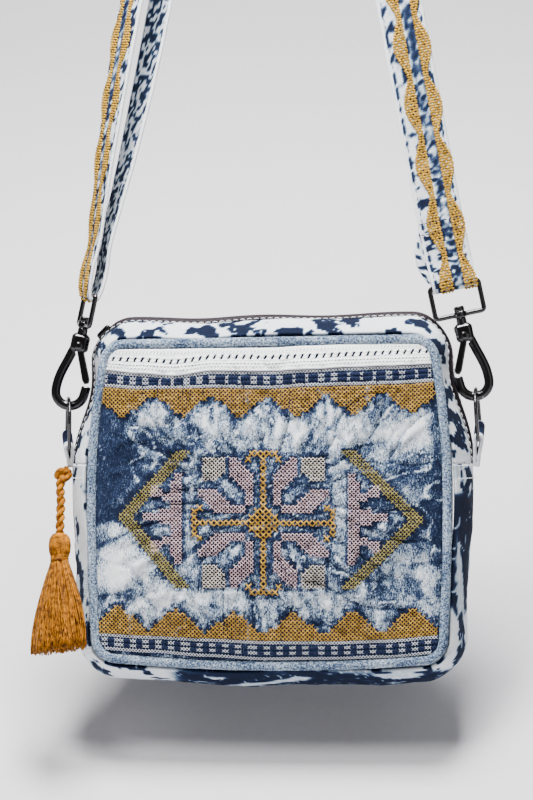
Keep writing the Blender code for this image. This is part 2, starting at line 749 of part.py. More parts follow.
# Twist of the right strand from the loop (0) to the peg (1): share of the way and share of the quarter turn
RIGHT_TWIST = ((0.08, 0.0), (0.2, 0.0), (0.36, 0.02), (0.52, 0.2), (0.68, 0.6), (0.84, 0.93))

# Left strand from the loop (0) to the peg (1): share of the way, turn of the band in degrees, and the spread
# of the outer and inner layer as shares of LAYER_SPREAD
LEFT_LAYERS = (
    # share, turn, outer, inner
    (0.06, 113.0, 0.34, 0.34),
    (0.14, 118.0, 0.62, 0.62),
    (0.24, 125.0, 0.88, 0.88),
    (0.36, 128.0, 1.0, 1.0),
    (0.48, 124.0, 0.9, 0.9),
    (0.58, 116.0, 0.55, 0.72),
)
LEFT_ABOVE = ((0.76, 104.0), (0.88, 95.0))


def peg_point(degrees):
    """Middle of the strap on the peg; 90 degrees is the apex."""
    angle = math.radians(degrees)
    radius = PEG_RADIUS + STRAP_THICKNESS / 2
    return Vector((radius * math.cos(angle), 0, radius * math.sin(angle) - PEG_RADIUS))


def loop_wrap(frame, angles):
    """Middle of the strap round a loop's top bar, angle 180 in front of it and 0 behind it."""
    radius = LOOP_WIRE / 2 + GAP + STRAP_THICKNESS / 2
    points = []
    for degrees in angles:
        angle = math.radians(degrees)
        points.append(frame @ Vector((0, radius * math.cos(angle), LOOP_HEIGHT + radius * math.sin(angle))))
    return points


def strap_stations(right, left):
    """Stations of the strap as place, width direction and width, and the slider's frame."""
    right_bar = (right["loop"].to_3x3() @ Vector((1, 0, 0))).normalized()
    left_bar = (left["loop"].to_3x3() @ Vector((1, 0, 0))).normalized()
    stations = []
    tail_gap = STRAP_THICKNESS / 2 + GAP / 2
    # share of the sewn tail's length and of the gap beside it, from its end down to the loop
    tail_rows = ((1.0, 1.0), (0.66, 1.0), (0.33, 1.25))
    for share, opening in tail_rows:
        height, spread = STRAP_TAIL * share, tail_gap * opening
        stations.append((right["loop"] @ Vector((0, spread, LOOP_HEIGHT + height)), right_bar, STRAP_WIDTH))
    for point in loop_wrap(right["loop"], (0, -45, -90, -135, -180)):
        stations.append((point, right_bar, STRAP_AT_LOOP))
    for share, opening in reversed(tail_rows):
        height, spread = STRAP_TAIL * share, tail_gap * opening
        stations.append((right["loop"] @ Vector((0, -spread, LOOP_HEIGHT + height)), right_bar, STRAP_WIDTH))
    right_start = right["loop"] @ Vector((0, -tail_gap, LOOP_HEIGHT + STRAP_TAIL))
    peg_right = peg_point(10)
    right_angle = math.degrees(math.atan2(right_bar.y, right_bar.x))
    for share, twist in RIGHT_TWIST:
        turn = right_angle + (90 - right_angle) * twist
        stations.append((right_start.lerp(peg_right, share), heading(turn), STRAP_WIDTH))
    for degrees in (10, 50, 90, 130, 170):
        stations.append((peg_point(degrees), heading(90), STRAP_WIDTH))
    left_top = left["loop"] @ Vector((0, 0, LOOP_HEIGHT))
    peg_left = peg_point(170)
    strand = (peg_left - left_top).normalized()
    slider_turn = heading(STRAP_SLIDER_TURN)
    slider_normal = strand.cross(slider_turn).normalized()
    slider = frame_from(left_top.lerp(peg_left, STRAP_SLIDER_PLACE), slider_turn, strand)
    slider_across = (slider.to_3x3() @ Vector((1, 0, 0))).normalized()
    half_strap = STRAP_THICKNESS / 2
    wrap = STRAP_SLIDER_WIRE / 2 + GAP + half_strap
    outer_side = slider_normal
    if outer_side.x > 0:
        outer_side = -outer_side
    outer_at_slider = wrap + STRAP_THICKNESS + GAP
    for share, turn in reversed(LEFT_ABOVE):
        stations.append((left_top.lerp(peg_left, share), heading(turn), STRAP_WIDTH))
    slider_centre = slider.translation
    reach = STRAP_SLIDER_HEIGHT
    for height in (reach, 0.0, -reach):
        place = slider_centre + strand * height + outer_side * outer_at_slider * 0.5
        stations.append((place, slider_across, STRAP_WIDTH))
    rising = []
    for share, turn, outer, inner in LEFT_LAYERS:
        direction = heading(turn)
        normal = strand.cross(direction).normalized()
        if normal.x > 0:
            normal = -normal
        middle = left_top.lerp(peg_left, share)
        spread = normal * LAYER_SPREAD
        rising.append((middle + spread * outer, middle - spread * inner, direction))
    for outer_place, _, direction in reversed(rising):
        stations.append((outer_place, direction, STRAP_WIDTH))
    wrap_angles = (0, -45, -90, -135, -180)
    first_wrap = loop_wrap(left["loop"], wrap_angles)
    if (first_wrap[0] - left_top).dot(outer_side) < 0:
        first_wrap.reverse()
    for point in first_wrap:
        stations.append((point, left_bar, STRAP_AT_LOOP))
    for _, inner_place, direction in rising:
        stations.append((inner_place, direction, STRAP_WIDTH))
    middle_bar = slider_centre - outer_side * outer_at_slider * 0.5
    stations.append((middle_bar - outer_side * wrap - strand * reach, slider_across, STRAP_WIDTH))
    for degrees in (0, 45, 90, 135, 180):
        angle = math.radians(degrees)
        place = middle_bar - outer_side * wrap * math.cos(angle) + strand * wrap * math.sin(angle)
        stations.append((place, slider_across, STRAP_WIDTH))
    strap_end = middle_bar + outer_side * wrap - strand * STRAP_SLIDER_HEIGHT * 0.2
    stations.append((strap_end, slider_across, STRAP_WIDTH))
    bars = {"frame": slider, "outer_side": outer_side, "strand": strand, "middle": middle_bar}
    bars["outer_offset"] = outer_at_slider + half_strap + GAP + STRAP_SLIDER_WIRE / 2
    return stations, bars


def make_strap(stations, cloth):
    knots = [place for place, _, _ in stations]
    places = smooth_route(knots, 2)
    directions = smooth_route([direction for _, direction, _ in stations], 2, knots)
    widths = smooth_route([Vector((width, 0, 0)) for _, _, width in stations], 2, knots)
    sections = []
    half_cloth = STRAP_THICKNESS / 2
    for place, direction, width, along in zip(places, directions, widths, tangents_of(places)):
        across = (direction - along * direction.dot(along)).normalized()
        normal = along.cross(across)
        half = across * (width.x / 2)
        lift = normal * half_cloth
        sections.append([place - half - lift, place + half - lift, place + half + lift, place - half + lift])
    return make_sweep("strap", sections, cloth)


def make_strap_slider(bars, metal):
    """Three-bar slide: the strap's end is sewn round the middle bar, the strand passes the outer two."""
    frame = bars["frame"]
    across = (frame.to_3x3() @ Vector((1, 0, 0))).normalized()
    radius = STRAP_SLIDER_WIRE / 2
    side_radius = radius * 1.25
    half_span = STRAP_WIDTH / 2 + 2 * GAP + side_radius
    middle = bars["middle"]
    outer = bars["outer_side"] * bars["outer_offset"]
    rise = bars["strand"] * STRAP_SLIDER_HEIGHT / 2
    pieces = []
    half_bar = across * half_span
    base = make_pin("strap_slider", middle - half_bar, middle + half_bar, radius, 8, metal)
    for level in (-1, 1):
        centre = middle + outer + rise * level
        bar = make_pin("bar", centre - half_bar, centre + half_bar, radius, 8, metal)
        pieces.append(bar)
    for end in (-1, 1):
        shift = half_bar * end
        route = [middle + outer - rise * 1.05, middle + outer * 0.3 - rise * 0.5, middle - outer * 0.06]
        route += [middle + outer * 0.3 + rise * 0.5, middle + outer + rise * 1.05]
        points = [point + shift for point in smooth_route(route, 2)]
        pieces.append(make_tube("side", points, across, side_radius, side_radius, 8, metal))
    return joined(base, pieces)


# Tassel at the left tab

def make_tassel(left, thread, cord_thread):
    """Cord from beside the tab's pinched base, its knot just below, and the tassel on its end."""
    sign = left["sign"]
    cord_radius = TASSEL_CORD_DIAMETER / 2
    bar_axis = (left["ring"].to_3x3() @ Vector((1, 0, 0))).normalized()
    edge = tab_base(left) - bar_axis * (TAB_BASE_WIDTH / 2 + cord_radius + GAP)
    start = edge + Vector((sign * cord_radius * 0.7, 0, 0))
    knot_place = edge + Vector((sign * KNOT_DIAMETER * 0.6, -GAP, -KNOT_LENGTH * 0.4))
    fall = TASSEL_CORD_LENGTH - (start - knot_place).length
    away, forward, down = TASSEL_HANG
    head_top = knot_place + Vector((sign * away, -forward, -down)).normalized() * fall
    middle = knot_place.lerp(head_top, 0.5) + Vector((sign * cord_radius * 0.2, 0, 0))
    route = smooth_route([start, knot_place, middle, head_top], 5)
    make_tube("tassel_cord", route, Vector((0, 1, 0)), cord_radius, cord_radius, 8, cord_thread)
    make_knot(knot_place, (route[6] - route[4]).normalized(), cord_thread)
    hang = (head_top - route[-2]).normalized()
    make_tassel_body(head_top + hang * GAP, hang, thread)


def make_knot(place, along, thread):
    """Ring-shaped stand-in of the overhand knot round the cord."""
    side = along.cross(Vector((0, 1, 0))).normalized()
    other = along.cross(side)
    bore = TASSEL_CORD_DIAMETER / 2 + 4 * GAP
    thick = (KNOT_DIAMETER / 2 - bore) / 2 + GAP
    sections = []
    for step in range(12):
        angle = 2 * math.pi * step / 12
        outward = side * math.cos(angle) + other * math.sin(angle)
        centre = place + outward * (bore + thick + GAP / 2)
        sections.append(ellipse(centre, outward, along, thick, KNOT_LENGTH / 2, 8))
    return make_sweep("tassel_knot", sections, thread, ring=True)


def make_tassel_body(top, hang, thread):
    """Head, bound neck and skirt of thread locks as one body."""
    turn = heading(TASSEL_TURN)
    across = (turn - hang * turn.dot(hang)).normalized()
    other = hang.cross(across)
    head_radius = TASSEL_HEAD_DIAMETER / 2
    skirt_width = TASSEL_SKIRT_WIDTH / 2
    skirt_depth = TASSEL_SKIRT_DEPTH / 2
    total = TASSEL_HEAD_LENGTH + TASSEL_SKIRT_LENGTH
    # along as a share of the head or skirt, then the half sizes as shares of the head's or skirt's
    head_rows = ((0.0, 0.55), (0.12, 0.9), (0.45, 1.0), (0.75, 0.92), (0.9, 0.78))
    skirt_rows = ((0.05, 0.36, 0.86), (0.2, 0.5, 0.92), (0.45, 0.68, 1.0), (0.7, 0.84, 1.0), (1.0, 1.0, 0.92))
    sections = []
    sides = 4 * TASSEL_LOCKS
    for along, size in head_rows:
        centre = top + hang * (along * TASSEL_HEAD_LENGTH)
        sections.append(ellipse(centre, across, other, head_radius * size, head_radius * size, sides))
    for along, width, depth in skirt_rows:
        section = []
        for index in range(sides):
            angle = 2 * math.pi * (index + 0.5) / sides
            ridge = 1 + 0.10 * along * math.cos(angle * TASSEL_LOCKS * 2)
            end = TASSEL_SKIRT_LENGTH * 0.05 * math.sin(angle * TASSEL_LOCKS) if along == 1.0 else 0.0
            reach = TASSEL_HEAD_LENGTH + along * TASSEL_SKIRT_LENGTH + end
            reach = min(reach, total * 1.02)
            sweep_across = across * (skirt_width * width * ridge * math.cos(angle))
            sweep_other = other * (skirt_depth * depth * ridge * math.sin(angle))
            section.append(top + hang * reach + sweep_across + sweep_other)
        sections.append(section)
    return make_sweep("tassel", sections, thread)


def build():
    clear_scene()
    denim = make_material("denim_washed", (0.42, 0.52, 0.66), 0.85)
    dark_denim = make_material("denim_band", (0.20, 0.27, 0.42), 0.85)
    piping_cloth = make_material("denim_piping", (0.40, 0.50, 0.64), 0.85)
    tape_cloth = make_material("zip_tape_cloth", (0.10, 0.09, 0.12), 0.8)
    coil_metal = make_material("zip_teeth", (0.16, 0.13, 0.15), 0.4, 0.7)
    gunmetal = make_material("gunmetal", (0.20, 0.20, 0.22), 0.28, 1.0)
    strap_cloth = make_material("strap_cloth", (0.45, 0.48, 0.52), 0.85)
    thread = make_material("mustard_thread", (0.62, 0.36, 0.08), 0.8)
    top = make_bag_body(denim, dark_denim, piping_cloth, tape_cloth, coil_metal)
    make_zip_slider(top, gunmetal)
    layouts = {side: side_layout(side) for side in ("right", "left")}
    for side, layout in layouts.items():
        make_ring("ring_" + side, layout["ring"], gunmetal)
        make_tab("tab_" + side, layout, dark_denim)
        make_hook("hook_" + side, layout["hook"], gunmetal)
        make_gate("gate_" + side, layout["hook"], gunmetal)
        make_loop("loop_" + side, layout["loop"], gunmetal)
    stations, bars = strap_stations(layouts["right"], layouts["left"])
    make_strap(stations, strap_cloth)
    make_strap_slider(bars, gunmetal)
    make_tassel(layouts["left"], thread, thread)


build()
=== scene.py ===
"""Embroidered denim crossbody bag: cloth, stitches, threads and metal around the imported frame.

Metres, +Z up, the embroidered front faces -Y. The origin is where the strap rests on what it hangs from.
"""

import math
import random

import bmesh
import bpy
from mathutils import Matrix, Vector, noise
from mathutils.bvhtree import BVHTree


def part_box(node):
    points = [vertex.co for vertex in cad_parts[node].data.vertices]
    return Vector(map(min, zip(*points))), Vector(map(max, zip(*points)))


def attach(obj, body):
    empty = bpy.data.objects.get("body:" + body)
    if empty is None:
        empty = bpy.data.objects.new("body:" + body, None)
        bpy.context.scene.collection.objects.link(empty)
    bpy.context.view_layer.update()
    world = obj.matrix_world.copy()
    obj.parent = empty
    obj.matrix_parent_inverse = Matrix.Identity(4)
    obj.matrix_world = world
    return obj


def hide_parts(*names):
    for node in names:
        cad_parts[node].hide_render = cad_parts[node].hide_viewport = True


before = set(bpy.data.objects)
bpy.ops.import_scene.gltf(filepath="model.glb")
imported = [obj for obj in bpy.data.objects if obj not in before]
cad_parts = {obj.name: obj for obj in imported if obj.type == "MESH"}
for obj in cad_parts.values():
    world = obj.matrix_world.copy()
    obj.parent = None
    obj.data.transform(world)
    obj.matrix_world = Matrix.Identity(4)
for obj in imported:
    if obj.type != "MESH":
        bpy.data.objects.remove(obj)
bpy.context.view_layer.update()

# The photograph's view: level, a little to the bag's right, at the height of the bag's upper edge
CAMERA_TARGET = Vector((-0.0033, 0.0, -0.5418))
CAMERA_DISTANCE = 1.5
CAMERA_TURN = 4.5
VIEW_HEIGHT = 0.4525
SENSOR = 36.0

# Places on the front are read in the photograph's pixels, at the depth of the front panel
PIXEL = 0.000555
MIDDLE_COLUMN = 268.5
MIDDLE_ROW = 400.0

# Shape of the bag, the same values as the part's
HALF_WIDTH = 0.1017
HALF_HEIGHT = 0.0902
PANEL_CORNER = 0.0125
PANEL_DOME = 0.008
CLOTH = 0.002
CLOTH_WALL = CLOTH * 0.8
GAP = 0.0003
PIPING_RADIUS = 0.0027
SEAM_Y = 0.028
GUSSET_WIDTH = 0.056
GUSSET_BULGE = 0.012
TOP_NARROWING = 0.0095
BOTTOM_NARROWING = 0.003
BOTTOM_SAG = 0.005
TOP_LIFT = 0.0015
SIDE_SEAM_HEIGHT = 0.0195
BAG_DROP = 0.597
ZIP_SLOT = 0.0064
ZIP_HALF_TAPE = 0.008
# Rib below the coil's teeth: place across and depth under the band's face
ZIP_RIB = (
    (-0.0021, 0.0018), (-0.0022, 0.0), (-0.0012, -0.0014), (0.0012, -0.0014), (0.0022, 0.0), (0.0021, 0.0018))
# One tooth: share of its reach across and depth under the band's face
ZIP_TOOTH = ((1.0, 0.0020), (1.02, 0.0002), (0.6, -0.0014), (0.0, -0.0017), (-0.22, -0.0008))
ZIP_TOOTH_REACH = 0.00235
ZIP_TOOTH_RADIUS = 0.0005
ZIP_PITCH = 0.00068
BAND_EDGE = SEAM_Y - PIPING_RADIUS - GAP
BAND_SPACING = 0.0014
# How far the bands are gathered up and down, and how far the upper ones sink beside the zip
UPPER_GATHERS = 0.0009
LOWER_GATHERS = 0.0011
ZIP_SINK = 0.0008
ZIP_SINK_END = 0.0085
# Machine stitches: length, space between them and width
ZIP_STITCHING = (0.0026, 0.0010, 0.0006)
SEAM_STITCHING = (0.0024, 0.0010, 0.0006)
BINDING_STITCHING = (0.0022, 0.0018, 0.0005)
STITCH_LIFT = 0.0004
ZIP_SEAM = ZIP_SLOT / 2 + 0.0040

# Heights of the front's creases, crumples and folds
CREASE_HEIGHT = 0.0022
CRUMPLE_HEIGHT = 0.0012
FOLD_DEPTH = 0.0011

DENTS = (
    # across, up, place, radius, depth
    (1.05, 0.74, -0.38, 0.30, 0.74),
    (-1.05, 0.68, -0.38, 0.30, 0.74),
    (-1.06, -0.42, -0.85, 0.30, 0.30),
    (-0.45, 1.10, -0.45, 0.35, 0.20),
    (0.35, 1.10, 0.50, 0.40, 0.18),
    (0.20, -1.10, -0.40, 0.45, 0.20),
    (-0.60, -1.10, 0.40, 0.40, 0.20),
    (1.08, -0.55, 0.35, 0.40, 0.25),
)
PUCKERS = (
    # across, up, spread, depth
    (-0.72, 0.30, 0.16, -0.28),
    (0.70, 0.34, 0.15, -0.25),
    (-0.30, 0.42, 0.14, 0.16),
    (0.34, -0.40, 0.16, 0.18),
    (-0.70, -0.52, 0.15, 0.20),
    (0.74, -0.50, 0.15, -0.22),
    (0.0, 0.62, 0.22, -0.16),
    (0.05, -0.66, 0.20, -0.14),
)

# Creases that run from the embroidery into the loose cloth: ends as shares of the half sizes, width, height
CREASES = (
    # across, up, to across, to up, width, height
    (-0.44, 0.30, -0.56, 0.36, 0.012, 0.5),
    (-0.42, 0.22, -0.60, 0.24, 0.012, 0.6),
    (-0.42, 0.12, -0.58, 0.10, 0.012, 0.5),
    (-0.20, 0.32, -0.26, 0.50, 0.014, 0.6),
    (-0.12, 0.34, -0.14, 0.56, 0.014, 0.6),
    (0.06, 0.34, 0.10, 0.60, 0.016, 0.7),
    (0.16, 0.32, 0.24, 0.54, 0.014, 0.6),
    (0.42, 0.30, 0.50, 0.42, 0.014, 0.6),
    (0.30, 0.40, 0.32, 0.66, 0.016, 0.6),
    (-0.78, 0.44, -0.96, 0.30, 0.018, 0.9),
    (-0.80, 0.20, -0.97, 0.16, 0.018, 0.9),
    (-0.88, 0.02, -0.97, -0.10, 0.018, 0.8),
    (-0.60, -0.30, -0.80, -0.46, 0.018, 0.7),
    (-0.48, -0.56, -0.30, -0.74, 0.016, 0.7),
    (-0.10, -0.50, -0.16, -0.74, 0.014, 0.5),
    (0.16, -0.50, 0.20, -0.72, 0.014, 0.5),
    (0.52, -0.52, 0.60, -0.74, 0.016, 0.7),
    (0.80, -0.14, 0.97, -0.26, 0.018, 0.9),
    (0.84, 0.12, 0.97, 0.26, 0.018, 0.9),
    (0.72, 0.34, 0.94, 0.50, 0.018, 0.8),
)

# How far the panel's indigo is washed out, round a middle level: 0 is navy, 1 is white
FRONT_WASH = 0.57
WASH_AND_SHADE_PATCHES = (
    # across, up, spread across, spread up, amount
    (-0.94, 0.40, 0.08, 0.30, -0.46),
    (-0.86, 0.18, 0.10, 0.14, -0.40),
    (-0.66, 0.34, 0.16, 0.14, -0.20),
    (-0.98, -0.02, 0.05, 0.20, -0.40),
    (-0.90, -0.42, 0.11, 0.17, 0.42),
    (-0.95, -0.68, 0.04, 0.10, -0.55),
    (-0.60, -0.52, 0.20, 0.14, 0.16),
    (-0.30, 0.52, 0.30, 0.12, 0.05),
    (0.30, 0.46, 0.28, 0.16, 0.15),
    (0.0, 0.0, 0.42, 0.36, -0.09),
    (0.0, -0.56, 0.40, 0.12, 0.12),
    # painted shadow line: the next row darkens a thin strip along the panel's inner right edge
    (0.98, 0.10, 0.03, 0.60, -0.38),
    (0.84, 0.16, 0.07, 0.10, -0.26),
    (0.93, -0.04, 0.05, 0.12, -0.28),
    (0.86, -0.22, 0.06, 0.10, -0.22),
    (0.80, 0.42, 0.12, 0.10, 0.16),
    (0.90, 0.44, 0.05, 0.16, 0.30),
    (0.93, -0.56, 0.05, 0.12, 0.30),
    (0.72, -0.62, 0.10, 0.08, -0.20),
    (0.62, -0.34, 0.14, 0.12, 0.12),
)

# Edges of the bands above and below the star, in pixels: places across and the rows that they run through
TOP_BANDS = (
    # column, lace top, slots, lace bottom, braid bottom
    (100, 350.0, 358.5, 369.5, 387.5),
    (140, 349.5, 360.0, 373.0, 389.5),
    (172, 349.5, 362.0, 375.5, 388.8),
    (215, 349.0, 357.5, 370.5, 388.5),
    (268, 348.5, 357.5, 371.0, 389.5),
    (310, 346.5, 356.5, 369.0, 387.0),
    (350, 344.8, 354.8, 367.0, 386.0),
    (390, 343.6, 353.0, 365.5, 384.8),
    (438, 343.6, 350.8, 363.5, 382.5),
)
BOTTOM_BANDS = (
    # column, zigzag bottom, band bottom
    (98, 634.0, 650.5),
    (150, 636.0, 653.0),
    (205, 637.8, 656.8),
    (265, 640.0, 660.0),
    (330, 640.0, 659.0),
    (385, 638.0, 657.0),
    (438, 634.0, 652.5),
)
ZIGZAG_TIPS_DOWN = (
    (122.6, 419.0), (183.8, 416.7), (240.8, 418.5), (297.9, 419.8), (354.0, 415.6), (411.5, 414.9))
ZIGZAG_TIPS_UP = (
    (118.3, 604.8), (177.0, 607.3), (235.3, 610.3), (294.0, 611.0), (353.0, 608.5), (412.6, 604.5))
ZIGZAG_STRIP = 5.5
ZIGZAG_SIDES = (99.0, 438.0)

# Cross-stitches
STITCH = 4.1 * PIXEL
CELL = 0.0022
BAR_STITCH = 0.0032
BRAID_STITCH = 0.00178
# One petal and one corner block of the star: row, first and last column, counted from the star's middle
PETAL_ROWS = (
    (16, 7, 8), (15, 6, 8), (14, 5, 8), (13, 4, 8), (12, 3, 8), (11, 3, 7),
    (10, 3, 6), (9, 3, 5), (8, 3, 4), (7, 3, 4), (6, 3, 4), (5, 3, 4),
)
CORNER_ROWS = ((16, 10, 15), (15, 10, 15), (14, 10, 15), (13, 10, 15), (12, 11, 15), (11, 12, 15))
# Half-flower: first and last column away from the star, lowest and highest row
FLOWER_BLOCKS = (
    (0, 2, -9, 9), (0, 1, -11, -10), (0, 1, 10, 11), (3, 9, 0, 1), (3, 5, -1, -1), (3, 5, 2, 2),
    (3, 4, 5, 6), (5, 7, 6, 7), (3, 4, -6, -5), (5, 7, -7, -6), (6, 7, 8, 8), (6, 7, -8, -8),
)
# Chevrons: upper end, point and lower end in pixels, and the way they point
CHEVRONS = (
    ((183.5, 450.0), (123.0, 517.0), (182.0, 588.0), -1),
    ((350.0, 450.0), (419.0, 519.0), (350.0, 588.0), 1),
)
STAR_CENTRE = (264.5, 522.4)

# Lace: grid across in pixels and rows down it, slots in pixels and rows of pinholes
LACE_STEP = 0.7
LACE_ROWS = 36
LACE_THICKNESS = 0.00045
SLOT_PITCH = 7.3
SLOT_SLANT = 0.45
SLOT_HALF_HEIGHT = 2.4
PINHOLE_ROWS = (5, 6, 24, 25, 29, 30)

# Strap: thickness, places across as shares of its half width, and the scallops sewn on it
STRAP_CLOTH = 0.0017
STRAP_COLUMNS = (
    -1.0, -0.97, -0.9, -0.82, -0.68, -0.52, -0.36, -0.2, -0.05,
    0.1, 0.28, 0.44, 0.6, 0.72, 0.82, 0.9, 0.97, 1.0)
SCALLOP_PERIOD = 0.034
SCALLOP_ROW = 0.00145
SCALLOP_STITCH = 0.0019
SCALLOP_THREAD = 0.00135
# Where both chains begin across the strap, and the way they swell
SCALLOP_CHAINS = ((0.0056, 1), (-0.0004, -1))
SCALLOP_NARROW = 0.0030
SCALLOP_SWELL = 0.0048
BINDING_SEAM = 0.0103
# Sewn end at the right loop: where its fold starts, its length, its place across and thickness, and its seams
END_FOLD_START = 0.007
END_FOLD_LENGTH = 0.030
END_FOLD_ACROSS = 0.0128
END_FOLD_BULGE = 0.0022
END_FOLD_WIDTH = 0.0032
END_FOLD_THICKNESS = 0.0019
END_SEAMS = (0.0345, 0.0405)
END_STITCH = 0.0020
END_STITCHES = 9

# Tassel's cord: the route's own points, and what hangs on it
CORD_POINTS = (
    Vector((-0.11522, -0.00814, -0.58100)),
    Vector((-0.11797, -0.00844, -0.58435)),
    Vector((-0.11859, -0.01319, -0.60064)),
    Vector((-0.11842, -0.01794, -0.61693)),
)
CORD_DIAMETER = 0.0054
CORD_TWIST = 0.0098
PLY_RADIUS = CORD_DIAMETER * 0.27
PLY_REACH = CORD_DIAMETER * 0.23
PLY_STRANDS = 5
STRAND_TWIST = 0.006
KNOT_REACH = 0.00135
KNOT_DEPTH = 0.0021
KNOT_STRAND = 0.00165
TASSEL_HEAD_RADIUS = 0.0059
TASSEL_HEAD_LENGTH = 0.0145
TASSEL_HEAD_THREADS = 56
TASSEL_HEAD_THREAD = 0.00042
# Head of the tassel: share of its length and of its radius
TASSEL_PROFILE = ((0.0, 0.42), (0.06, 0.70), (0.2, 0.92), (0.45, 1.0), (0.7, 0.95), (0.88, 0.80), (1.0, 0.66))
TASSEL_NECK = 0.0047
TASSEL_BINDING = 0.00062
TASSEL_BINDING_TURNS = 4
TASSEL_BINDING_PITCH = 0.0009
TASSEL_LOOSE_TURN = 0.0062
TASSEL_SKIRT_START = 0.0040
TASSEL_SKIRT_LENGTH = 0.0535
TASSEL_SKIRT_WIDTH = 0.039
TASSEL_SKIRT_DEPTH = 0.0135
TASSEL_TURN = -32.0
TASSEL_THREADS = 430
TASSEL_THREAD_RADII = (0.00034, 0.0005)
TASSEL_SWAY = 0.0011

# Stage: the backdrop's height and slopes under and behind the bag, its half width, and the lights
UNDER_BAG = -0.742
FLOOR_SLOPE = 0.03
BACK_SLOPE = 0.65
STAGE_HALF_WIDTH = 4.0
LIGHT_AIM = Vector((0.0, 0.0, -0.56))
LIGHTS = (
    # name, place, size, power, colour
    ("key", (-0.40, -0.95, 0.62), 0.40, 25.0, (1.0, 0.985, 0.96)),
    ("fill", (1.1, -1.3, -0.35), 1.0, 4.0, (0.95, 0.97, 1.0)),
    ("top", (0.0, -0.32, 0.50), 0.45, 60.0, (1.0, 1.0, 1.0)),
)
WORLD_COLOUR = (1.0, 0.97, 0.95, 1.0)
WORLD_STRENGTH = 0.22

chance = random.Random(11)


# Small helpers

def at_pixel(column, row):
    """Place across and up on the front of the bag for a pixel of the photograph."""
    return (column - MIDDLE_COLUMN) * PIXEL, CAMERA_TARGET.z - (row - MIDDLE_ROW) * PIXEL


def ease(value, low, high):
    """How far a value is from low to high, from 0 to 1 and smooth at both ends."""
    share = max(0.0, min(1.0, (value - low) / (high - low)))
    return share * share * (3 - 2 * share)


def between(table, column, field):
    """Value of a table's field between its rows, smooth enough for a sewn edge."""
    if column <= table[0][0]:
        return table[0][field]
    for before, after in zip(table, table[1:]):
        if column <= after[0]:
            return before[field] + (after[field] - before[field]) * ease(column, before[0], after[0])
    return table[-1][field]


def smooth_curve(controls, steps):
    """Points of a curve through controls, weighed by their distances."""
    last = len(controls) - 1
    spans = [max((controls[index + 1] - controls[index]).length, 1e-6) for index in range(last)]
    rises = [(controls[index + 1] - controls[index]) / spans[index] for index in range(last)]
    slopes = [rises[0]]
    for index in range(1, last):
        before, after = spans[index - 1], spans[index]
        slopes.append((rises[index - 1] * after + rises[index] * before) / (before + after))
    slopes.append(rises[-1])
    points = []
    for index in range(last):
        for step in range(steps):
            t = step / steps
            middle = controls[index].lerp(controls[index + 1], t * t * (3 - 2 * t))
            start_slope = slopes[index] * spans[index] * (t * (1 - t) * (1 - t))
            end_slope = slopes[index + 1] * spans[index] * (t * t * (t - 1))
            points.append(middle + start_slope + end_slope)
    points.append(controls[last].copy())
    return points


def directions_along(points, ring=False):
    """Unit direction of a path at each of its points."""
    count = len(points)
    found = []
    for index in range(count):
        ahead = points[(index + 1) % count] if ring else points[min(index + 1, count - 1)]
        behind = points[index - 1] if ring else points[max(index - 1, 0)]
        found.append((ahead - behind).normalized())
    return found


def linked(name, data):
    """New object in the scene."""
    thing = bpy.data.objects.new(name, data)
    bpy.context.scene.collection.objects.link(thing)
    return thing


def turn_outward(mesh):
    """Drop loose points, turn the faces outwards and shade them smooth."""
    shell = bmesh.new()
    shell.from_mesh(mesh)
    stray = [vertex for vertex in shell.verts if not vertex.link_faces]
    bmesh.ops.delete(shell, geom=stray, context="VERTS")
    bmesh.ops.recalc_face_normals(shell, faces=shell.faces)
    shell.to_mesh(mesh)
    shell.free()
    mesh.shade_smooth()


def round_angles(count):
    """Equal steps round a full turn."""
    return [2 * math.pi * step / count for step in range(count)]


class Bundle:
    """Points and faces of many small forms that become one mesh, with the wash at each point of denim."""

    def __init__(self):
        self.points = []
        self.faces = []
        self.washes = []

    def add(self, points, faces, washes=()):
        start = len(self.points)
        self.points.extend(points)
        self.faces.extend([tuple(start + index for index in face) for face in faces])
        self.washes.extend(washes)

    def sweep(self, sections, ring=False, washes=()):
        """Tube through sections of equally many points."""
        count = len(sections[0])
        points = [point for section in sections for point in section]
        faces = []
        rows = len(sections)
        for row in range(rows if ring else rows - 1):
            here = row * count
            there = ((row + 1) % rows) * count
            for index in range(count):
                after = (index + 1) % count
                faces.append((here + index, here + after, there + after, there + index))
        if not ring:
            faces.append(tuple(reversed(range(count))))
            faces.append(tuple(range(len(points) - count, len(points))))
        self.add(points, faces, washes)

    def tube(self, points, radius, sides, ring=False):
        """Round tube along points."""
        first = directions_along(points)[0].orthogonal().normalized()
        sections = []
        for point, along in zip(points, directions_along(points, ring)):
            first = first - along * first.dot(along)
            first = first.normalized() if first.length > 1e-4 else along.orthogonal().normalized()
            other = along.cross(first)
            section = []
            for index in range(sides):
                angle = 2 * math.pi * (index + 0.5) / sides
                reach = first * (radius * math.cos(angle)) + other * (radius * math.sin(angle))
                section.append(point + reach)
            sections.append(section)
        self.sweep(sections, ring)

    def thread(self, start, end, normal, width, height):
        """One sewn thread: it comes up at start, lies over the cloth and goes down at end."""
        along = (end - start).normalized()
        across = normal.cross(along).normalized()
        sections = []
        for share in (0.0, 0.5, 1.0):
            rise = height * math.sin(math.pi * (0.08 + 0.84 * share))
            swell = 0.72 + 0.28 * math.sin(math.pi * share)
            middle = start.lerp(end, share) + normal * (rise - height * 0.35)
            half = across * (width * 0.5 * swell)
            lift = normal * (width * 0.36 * swell)
            sections.append([middle - half, middle + lift, middle + half, middle - lift])
        self.sweep(sections)

    def piece(self, name, material):
        """All the forms as one smooth piece."""
        mesh = bpy.data.meshes.new(name)
        mesh.from_pydata([tuple(point) for point in self.points], [], self.faces)
        if self.washes:
            mesh.attributes.new("wash", "FLOAT", "POINT").data.foreach_set("value", self.washes)
        mesh.materials.append(material)
        turn_outward(mesh)
        return linked(name, mesh)


